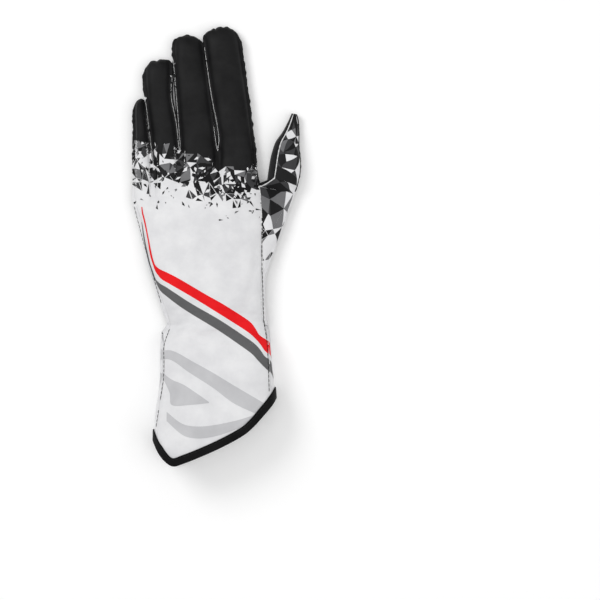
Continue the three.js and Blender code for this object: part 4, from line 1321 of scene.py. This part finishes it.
# Side, heights in the photograph of a stripe's top and foot at the seam and at its far end, reach and slot
SIDE_BANDS = [
    (1, (339.8, 353.6), (348.0, 361.0), 0.05, RED_SLOT),
    (1, (359.6, 371.6), (367.0, 379.0), 0.05, STRIPE_SLOT),
    (-1, (349.6, 359.2), (347.5, 359.8), 0.04, BAND_SLOT),
    (-1, (373.0, 379.0), (372.0, 388.0), 0.04, BAND_SLOT),
]
for side, near, far, reach, slot in SIDE_BANDS:
    stripes.outward = Vector((side, 0, 0.5))
    rows = []
    for share in shares(SIDE_STEPS):
        top_y, low_y = (photo_place(0, py)[1] for py in mix(near, far, share))
        row = []
        for step in shares(12):
            y = lerp(top_y, low_y, step)
            first, last = cuff_turns(y)
            row.append(over_cuff(first + reach * share if side > 0 else last - reach * share, y))
        rows.append(row)
    stripes.strip(rows, slot)
stripes.add("back_stripes", "back_cloth")


# Binding: a rounded channel of tape round the slanted edge of the cuff
FOLD_ROUND = 0.62
FOLD_DROP = 0.1
TAPE_CORNER = 0.3
TAPE_BEVEL = 0.1


def rim_point(turn, up):
    share = share_at(turn)
    return loop_point(section_at(edge_y(share) + up * edge_slant(share)), turn)


def binding_profile():
    """Points round the tape's section: how far out from the cuff's face, and how far up from its edge."""
    out, inn = BINDING_WALL + CLEARANCE, -CLOTH_WALL - CLEARANCE - BINDING_WALL
    middle, half = (out + inn) / 2, (out - inn) / 2
    fold = []
    for t in shares(10):
        angle = math.pi * t
        fold.append((middle - half * math.cos(angle), half * FOLD_ROUND * (1 - math.sin(angle)) - FOLD_DROP))
    rises = [lerp(0.9, BINDING_WIDTH - 0.25, t) for t in shares(5)]
    edge = BINDING_WIDTH - TAPE_BEVEL
    lip = [(out - TAPE_CORNER, BINDING_WIDTH), (CLEARANCE, edge), (CLEARANCE, BINDING_WALL)]
    inside = [(-CLOTH_WALL - CLEARANCE, BINDING_WALL), (-CLOTH_WALL - CLEARANCE, edge)]
    outer_side = [(out, rise) for rise in rises]
    inner_side = [(inn + TAPE_CORNER, BINDING_WIDTH)] + [(inn, rise) for rise in reversed(rises)]
    return outer_side + lip + inside + inner_side + fold[1:-1]


PROFILE = binding_profile()
PUFF = 0.12
back_turns = [turn_at(lerp(SEAM_INSET, RIGHT_SEAM_SHARE, column[2])) for column in COLUMNS]
ends = cuff_turns(WRIST_Y - CUFF_LENGTH)
palm_turns = [lerp(*ends, (i + 1) / CUFF_STEPS) for i in range(CUFF_STEPS - 1)]
turns = back_turns + palm_turns
points = []
for j, turn in enumerate(turns):
    before = rim_point(turns[j - 1], BINDING_WALL)
    after = rim_point(turns[(j + 1) % len(turns)], BINDING_WALL)
    dx, dz = after[0] - before[0], after[2] - before[2]
    around = math.hypot(dx, dz)
    for out, up in PROFILE:
        x, y, z = rim_point(turn, up)
        puff = PUFF * wave(x, y, 41, 5, 5)
        points.append((x - dz / around * (out + puff), y, z + dx / around * (out + puff)))
faces = tube_faces(len(turns), len(PROFILE), closed=True)
add("cuff_tape", points, faces, [TAPE], "binding_tape", "cuff_binding")


# Stitches: short rounded threads laid along a path of points with their outward directions
STITCH_STATIONS = 5
STITCH_SIDES = 6
STITCH_SINK = 0.04
SEAM_STITCH = 3.0
PATH_STEP = 0.8


def stitches(name, path, length, gap, width, slot, height=0.28):
    points, faces = [], []
    total = [0.0]
    for (p, _), (q, _) in zip(path, path[1:]):
        total.append(total[-1] + (q - p).length)

    def at(distance):
        k = 0
        while k < len(total) - 2 and distance > total[k + 1]:
            k += 1
        span = max(1e-9, total[k + 1] - total[k])
        t = (distance - total[k]) / span
        return path[k][0].lerp(path[k + 1][0], t), path[k][1].lerp(path[k + 1][1], t).normalized()

    start = gap
    while start + length < total[-1]:
        base = len(points)
        for t in shares(STITCH_STATIONS - 1):
            here, up = at(start + length * t)
            ahead, _ = at(min(total[-1], start + length * t + 0.2))
            way = (ahead - here).normalized() if (ahead - here).length > 1e-6 else Vector((0, 1, 0))
            across = way.cross(up).normalized()
            thin = 0.35 + 0.65 * math.sin(math.pi * min(0.93, max(0.07, t)))
            rise = height * math.sin(math.pi * t)
            for m in range(STITCH_SIDES):
                angle = math.pi * m / (STITCH_SIDES - 1)
                aside, over = width / 2 * thin * math.cos(angle), height * thin * math.sin(angle)
                points.append(here + (across * aside + up * over) + up * (rise * 0.5 - STITCH_SINK))
        for n in range(STITCH_STATIONS - 1):
            for m in range(STITCH_SIDES - 1):
                a = base + n * STITCH_SIDES + m
                faces.append([a, a + 1, a + STITCH_SIDES + 1, a + STITCH_SIDES])
        start += length + gap
    add(name, points, faces, [DARK_THREAD], slot)


def back_path(line):
    points = photo_line(line)
    places = [cloth_at(*along(points, share)) for share in shares(round(line_length(points) / PATH_STEP))]
    return [place for place in places if place]


# Name, line, gap and width of the stitches along each seam
for name, line, gap, width in (
    ("back_side_stitching", BACK_SEAM_LINE, 0.2, 0.75),
    ("cuff_side_stitching", CUFF_SEAM_LINE, 0.2, 0.75),
    ("hand_side_stitching", SIDE_SEAM_LINE, 0.3, 0.45),
):
    stitches(name, back_path(line), SEAM_STITCH, gap, width, "gusset_cloth")


# Seam allowances: a lumpy rolled edge round each finger, and a frayed light edge between the fingers
BEAD_SIDES = 8
EDGE_STEPS = 90
ROUND_STEPS = 40
ROLL_RADIUS = 0.95
ROLL_INSET = 0.55
ROLL_DROP = 0.9
UP = Vector((0, 0, 1))


def bead(name, path, radius, seed, lumps, pitch, material, slot):
    """A lumpy closed roll along a path, thinner at both ends."""
    points = []
    distance = 0.0
    for j, (here, up) in enumerate(path):
        before, after = path[max(0, j - 1)][0], path[min(len(path) - 1, j + 1)][0]
        way = (after - before).normalized()
        across = way.cross(up).normalized()
        distance += (after - before).length / 2
        swell = 1 + lumps * noise.noise(Vector((distance / pitch, seed * 3.1, 0.0))) * 1.6
        fade = smooth(min(j, len(path) - 1 - j) / 4)
        for m in range(BEAD_SIDES):
            angle = 2 * math.pi * m / BEAD_SIDES
            r = radius * swell * lerp(0.3, 1, fade)
            points.append(here + across * (r * math.cos(angle)) + up * (r * math.sin(angle)))
    faces = tube_faces(len(path), BEAD_SIDES)
    faces.append(list(range(BEAD_SIDES)))
    faces.append(list(range(len(points) - BEAD_SIDES, len(points))))
    add(name, points, faces, [material], slot)


def finger_rim(k, start_left, start_right):
    """Points along the edge of a finger from its left side round the tip to its right side."""
    path = []
    ways = [(0.0, lerp(start_left, 1, n / EDGE_STEPS)) for n in range(EDGE_STEPS)]
    ways += [(0.5 - 0.5 * math.cos(math.pi * n / ROUND_STEPS), 1.0) for n in range(ROUND_STEPS + 1)]
    ways += [(1.0, lerp(1, start_right, n / EDGE_STEPS)) for n in range(1, EDGE_STEPS + 1)]
    for u, t in ways:
        x, y = finger_plan(k, u, t)
        ix, iy = finger_plan(k, lerp(u, 0.5, 0.2), t * 0.97)
        reach = math.hypot(ix - x, iy - y)
        z = lerp(back_edge_height(k, 0, t), back_edge_height(k, 1, t), u) - ROLL_DROP
        path.append((Vector((x + (ix - x) / reach * ROLL_INSET, y + (iy - y) / reach * ROLL_INSET, z)), UP))
    return path


# Finger, and where its rolled edge starts on the left and ends on the right
for k, start_left, start_right in ((0, 0.02, 0.3), (1, 0.2, 0.62), (2, 0.5, 0.86), (3, 0.82, 0.02)):
    rim = finger_rim(k, start_left, start_right)
    bead(f"{FINGERS[k][0]}_rolled_seam", rim, ROLL_RADIUS, k + 1, 0.6, 3.0, BLACK, "gusset_cloth")


def raw_edge(name, path, seed, width=0.2, height=0.22, cover=0.95):
    """Short frayed threads along a raw edge."""
    roll = random.Random(seed)
    points, faces = [], []
    for (here, up), (after, _) in zip(path, path[1:]):
        if roll.random() > cover:
            continue
        way = (after - here).normalized()
        across = way.cross(up).normalized()
        reach = (after - here).length * roll.uniform(0.7, 1.5)
        lean = roll.uniform(-0.14, 0.14)
        half = width * roll.uniform(0.3, 0.7)
        start = here + across * roll.uniform(-0.08, 0.08)
        end = start + way * reach + across * lean
        base = len(points)
        points += [start - across * half, start + across * half, end + across * half, end - across * half]
        points += [p + up * height for p in points[base:base + 4]]
        for face in ((0, 3, 2, 1), (4, 5, 6, 7), (0, 1, 5, 4), (1, 2, 6, 5), (2, 3, 7, 6), (3, 0, 4, 7)):
            faces.append([base + n for n in face])
    add(name, points, faces, [WHITE_THREAD], "gusset_cloth", soft=False)


RAW_EDGE_THREADS = 150
RAW_EDGE_INSET = 0.25
RAW_EDGE_LIFT = 0.1
# Finger, side, and where its raw edge ends along the finger
for k, side, end in ((1, 0, 0.8), (1, 1, 0.78), (2, 0, 0.88), (3, 0, 0.97), (2, 1, 0.24)):
    path = []
    count = round(RAW_EDGE_THREADS * end)
    for n in range(count):
        t = lerp(0.0, end, n / count)
        x, y = finger_plan(k, float(side), t)
        ix, iy = finger_plan(k, 0.5, t)
        inset = (ix - x) / math.hypot(ix - x, iy - y) * RAW_EDGE_INSET
        path.append((Vector((x + inset, y, back_edge_height(k, side, t) + RAW_EDGE_LIFT)), UP))
    raw_edge(f"{FINGERS[k][0]}_raw_edge_{side}", path, 50 + k * 2 + side)

# Rolled edges of the thumb's seam, of its outer side and of the hand's side below it
THUMB_EDGE_LIFT = 0.3
up = Vector((-0.4, 0, 1)).normalized()
seam_edge = [(row[0] + up * THUMB_EDGE_LIFT, up) for row in thumb_points]
side_edge = [(row[-1] + Vector((0.1, 0, 0)), Vector((1, 0, 0.3)).normalized()) for row in thumb_points]
split = len(thumb_points) - THUMB_ROWS - TURN_ROWS
for name, path, radius, seed, lumps, pitch, material, slot in (
    ("thumb_seam_edge", seam_edge, 0.38, 9, 0.5, 2.0, WHITE_THREAD, "thumb_cloth"),
    ("thumb_side_seam", side_edge[split:], 0.6, 10, 0.4, 2.4, BLACK, "gusset_cloth"),
    ("hand_side_seam", side_edge[:split + 6], 0.55, 12, 0.4, 2.4, WHITE, "thumb_cloth"),
):
    bead(name, path, radius, seed, lumps, pitch, material, slot)


# Grip pads: rounded plates with a raised rim and a sunk middle, and plain light bars
PALM_PADS = {
    "centre": [(-0.155, -0.064), (0, -0.12), (0.155, -0.064), (0.155, 0.064), (0, 0.12), (-0.155, 0.064)],
    "knuckle": [
        (-0.49, 0.24), (-0.335, 0.19), (-0.055, 0.19), (0.22, 0.215), (0.37, 0.28), (0.36, 0.365),
        (0.3, 0.335), (0.22, 0.4), (0.065, 0.4), (-0.01, 0.335), (-0.09, 0.4), (-0.25, 0.36), (-0.325, 0.29),
        (-0.38, 0.335), (-0.47, 0.31),
    ],
    "little_side": [(-0.43, -0.11), (-0.33, -0.1), (-0.27, 0.02), (-0.4, 0.145), (-0.5, 0.15)],
    "little_heel": [
        (-0.335, -0.35), (-0.27, -0.43), (-0.13, -0.42), (-0.155, -0.255), (-0.29, -0.145), (-0.4, -0.16),
    ],
    "thumb_heel": [(0.11, -0.45), (0.38, -0.42), (0.335, -0.305), (0.2, -0.21), (0.09, -0.24)],
    "thumb_ball": [(0.245, -0.175), (0.335, -0.24), (0.46, -0.11), (0.41, 0.03), (0.225, -0.03)],
    "thumb_side": [(0.27, 0.03), (0.42, 0.07), (0.42, 0.21), (0.25, 0.145)],
    "thumb_base": [(0.52, 0.06), (0.58, 0.1), (0.66, 0.23), (0.57, 0.25), (0.5, 0.18)],
}
FINGER_PADS = {
    "tip": [(0.24, 0.72), (0.78, 0.66), (0.76, 0.82), (0.5, 0.87), (0.26, 0.83)],
    "middle": [(0.22, 0.42), (0.78, 0.49), (0.78, 0.61), (0.24, 0.67)],
    "base": [(0.22, 0.14), (0.78, 0.08), (0.78, 0.43), (0.22, 0.36)],
}
THUMB_PADS = {
    "tip": [(0.28, 0.5), (0.74, 0.46), (0.72, 0.7), (0.5, 0.78), (0.3, 0.7)],
    "middle": [(0.2, 0.02), (0.8, 0.06), (0.78, 0.4), (0.24, 0.43)],
}
PAD_CORNER = 1.2
PAD_RIM = 0.9
# The section of a pad, from its foot on the suede round the rim to the sunk middle: inward, height
PAD_LEVELS = [
    (0.0, PAD_THICKNESS), (0.0, 0.3), (0.12, 0.08), (0.3, 0.0), (PAD_RIM, 0.0), (PAD_RIM + 0.2, 0.22),
]


def area(outline):
    return sum(p[0] * q[1] - q[0] * p[1] for p, q in zip(outline, outline[1:] + outline[:1])) / 2


def rounded(outline):
    result = []
    for n, corner in enumerate(outline):
        before, after = outline[n - 1], outline[(n + 1) % len(outline)]
        start = mix(corner, before, min(0.4, PAD_CORNER / math.dist(corner, before)))
        end = mix(corner, after, min(0.4, PAD_CORNER / math.dist(corner, after)))
        for t in shares(4):
            result.append(mix(mix(start, corner, t), mix(corner, end, t), t))
    return result


def inward(outline, reach):
    """The outline drawn in by reach along the middle of its two directions at each point."""
    result = []
    for n, point in enumerate(outline):
        before, after = outline[n - 1], outline[(n + 1) % len(outline)]
        dx, dy = after[0] - before[0], after[1] - before[1]
        length = math.hypot(dx, dy) or 1.0
        result.append((point[0] - dy / length * reach, point[1] + dx / length * reach))
    return result


def pad(name, outline, node):
    if area(outline) < 0:
        outline = list(reversed(outline))
    outline = rounded(outline)
    size = len(outline)
    loops = [inward(outline, reach) for reach, _ in PAD_LEVELS]
    points = [(x, y, z) for loop, (_, z) in zip(loops, PAD_LEVELS) for x, y in loop]
    faces = tube_faces(len(loops), size)
    for loop, (_, z) in ((loops[-1], PAD_LEVELS[-1]), (loops[0], PAD_LEVELS[0])):
        cap = delaunay_2d_cdt([Vector(p) for p in loop], [], [list(range(size))], 1, 1e-5)
        base = len(points)
        points += [(v.x, v.y, z) for v in cap[0]]
        faces += [[base + n for n in face] for face in cap[2]]
    add(name, points, faces, [SILICONE, SILICONE_LIGHT], "silicone", node, soft=False)


def palm_place(p):
    return (p[0] * HAND_WIDTH, p[1] * PALM_LENGTH)


def thumb_place(p):
    oval = thumb_oval(p[1])
    return mix(oval["left"], oval["right"], p[0])


for label, outline in PALM_PADS.items():
    pad(f"palm_{label}_grip", [palm_place(p) for p in outline], f"palm_{label}_pad")
for label, outline in THUMB_PADS.items():
    pad(f"thumb_{label}_grip", [thumb_place(p) for p in outline], f"thumb_{label}_pad")
for k, finger in enumerate(FINGERS):
    for label, outline in FINGER_PADS.items():
        name = f"{finger[0]}_{label}"
        pad(name + "_grip", [finger_plan(k, u, t) for u, t in outline], name + "_pad")

# Plain slanted bars printed on the pads: how many, start and end of the first as shares of the
# hand, step to the next, and width in millimetres
BAR_Z = 0.12
BARS = [
    (3, (-0.09, -0.045), (-0.045, 0.045), 0.06, 1.1),
    (4, (-0.42, 0.235), (-0.40, 0.27), 0.05, 0.9),
    (4, (0.08, 0.27), (0.1, 0.33), 0.05, 0.9),
    (3, (0.18, -0.37), (0.15, -0.31), 0.05, 0.9),
    (3, (-0.27, -0.36), (-0.31, -0.26), 0.035, 0.9),
    (3, (0.3, -0.15), (0.27, -0.06), 0.03, 0.9),
]
bars = Print(outward=(0, 0, -1))
for count, start, end, step, width in BARS:
    for n in range(count):
        p, q = (palm_place((x + n * step, y)) for x, y in (start, end))
        length = math.dist(p, q)
        nx, ny = (q[1] - p[1]) / length * width / 2, (p[0] - q[0]) / length * width / 2
        corners = []
        for (x, y), share in ((p, -1), (q, -0.4), (q, 0.4), (p, 1)):
            corners.append(Vector((x + nx * share, y + ny * share, BAR_Z)))
        bars.face(corners, 0)
bars.add("grip_bars", "silicone", [SILICONE_LIGHT])

# Hem of the suede on the wrist: two rows of zigzag stitches over the palm side
ZIGZAG_PITCH = 7.0
ZIGZAG_HEIGHT = 3.0
ZIGZAG_STEPS = 160
HEM_BELOW_WRIST = (4.5, 12.0)
HEM_START = 0.2
HEM_SPAN = 0.6
HEM_SINK = 0.1
for row_number, below in enumerate(HEM_BELOW_WRIST):
    y = WRIST_Y - below
    section = section_at(y)
    middle = lerp(PALM_SEAM_HEIGHT, section["middle"], cuff_blend(y))
    path = []
    reach = 0.0
    last = None
    for n in range(ZIGZAG_STEPS + 1):
        turn = lerp(*cuff_turns(y), HEM_START + HEM_SPAN * n / ZIGZAG_STEPS)
        here = Vector(loop_point(section, turn, middle))
        reach += (here - last).length if last else 0.0
        last = here
        phase = (reach / ZIGZAG_PITCH) % 1
        rise = ZIGZAG_HEIGHT * (abs(2 * phase - 1) - 0.5)
        ahead = Vector(loop_point(section, turn + 0.002, middle))
        up = (ahead - here).cross(Vector((0, 1, 0))).normalized()
        path.append((here + Vector((0, rise, 0)) - up * HEM_SINK, up if up.length else -UP))
    stitches(f"hem_zigzag_{row_number}", path, 1.6, 0.25, 0.45, "cuff_cloth", 0.35)

# Binding stitches, a row on the tape's upper face
STITCH_INSET = 1.4
path = []
for turn in back_turns:
    x, y, z = rim_point(turn, BINDING_WIDTH - STITCH_INSET)
    ahead = rim_point(turn + 0.004, BINDING_WIDTH - STITCH_INSET)
    way = Vector((ahead[0] - x, 0, ahead[2] - z)).normalized()
    out = Vector((-way.z, 0, way.x))
    path.append((Vector((x, y, z)) + out * (CLEARANCE + BINDING_WALL), out))
stitches("binding_stitching", path, 2.0, 1.0, 0.4, "binding_tape", 0.2)

# Floor, camera and light
FLOOR = 4.0
FLOOR_TONES = ((0.895, 0.895, 0.895), (0.905, 0.905, 0.905))
FLOOR_GLOW = 0.13
WORLD_GLOW = 0.5
corners = [(-FLOOR, -FLOOR, 0), (FLOOR, -FLOOR, 0), (FLOOR, FLOOR, 0), (-FLOOR, FLOOR, 0)]
floor_mesh = bpy.data.meshes.new("floor")
floor_mesh.from_pydata(corners, [], [(0, 1, 2, 3)])
floor = bpy.data.objects.new("floor", floor_mesh)
bpy.context.scene.collection.objects.link(floor)
look = Look("pale_floor", (0.9, 0.9, 0.9), 0.9, 0.0, 0.1)
look.vary_color(look.noise(2.0), *FLOOR_TONES)
look.feed(look.base, {"Emission Color": (1, 1, 1, 1), "Emission Strength": FLOOR_GLOW})
floor_mesh.materials.append(look.material)

FRAME_WIDTH = PHOTO_SIDE * PHOTO_MM
CAMERA_HEIGHT = 3000.0
MEAN_HEIGHT = 9.0
SENSOR = 36.0
middle_x, middle_y = photo_place(PHOTO_MIDDLE, PHOTO_MIDDLE)
camera_data = bpy.data.cameras.new("camera")
camera_data.sensor_width = SENSOR
camera_data.lens = SENSOR * (CAMERA_HEIGHT - MEAN_HEIGHT) / FRAME_WIDTH
camera_data.clip_end = 20.0
camera = bpy.data.objects.new("camera", camera_data)
camera.location = (middle_x * MM, middle_y * MM, CAMERA_HEIGHT * MM)
camera.rotation_euler = (0.0, 0.0, 0.0)
bpy.context.scene.collection.objects.link(camera)
bpy.context.scene.camera = camera

# Name, place, size and power of each light, in metres and watts; all point to the middle of the glove
for name, place, size, power in (
    ("key", (-0.75, 0.55, 1.1), 0.7, 7.5),
    ("fill", (0.9, -0.3, 1.0), 1.2, 3.5),
    ("top", (0.05, 0.0, 1.7), 1.4, 5.0),
):
    data = bpy.data.lights.new(name, "AREA")
    data.shape = "DISK"
    data.size = size
    data.energy = power
    light = bpy.data.objects.new(name, data)
    light.location = place
    light.rotation_euler = (-Vector(place)).to_track_quat("-Z", "Y").to_euler()
    bpy.context.scene.collection.objects.link(light)
world = bpy.data.worlds.new("studio")
world.use_nodes = True
background = world.node_tree.nodes["Background"]
background.inputs["Color"].default_value = (1, 1, 1, 1)
background.inputs["Strength"].default_value = WORLD_GLOW
bpy.context.scene.world = world
bpy.context.scene.view_settings.view_transform = "Standard"
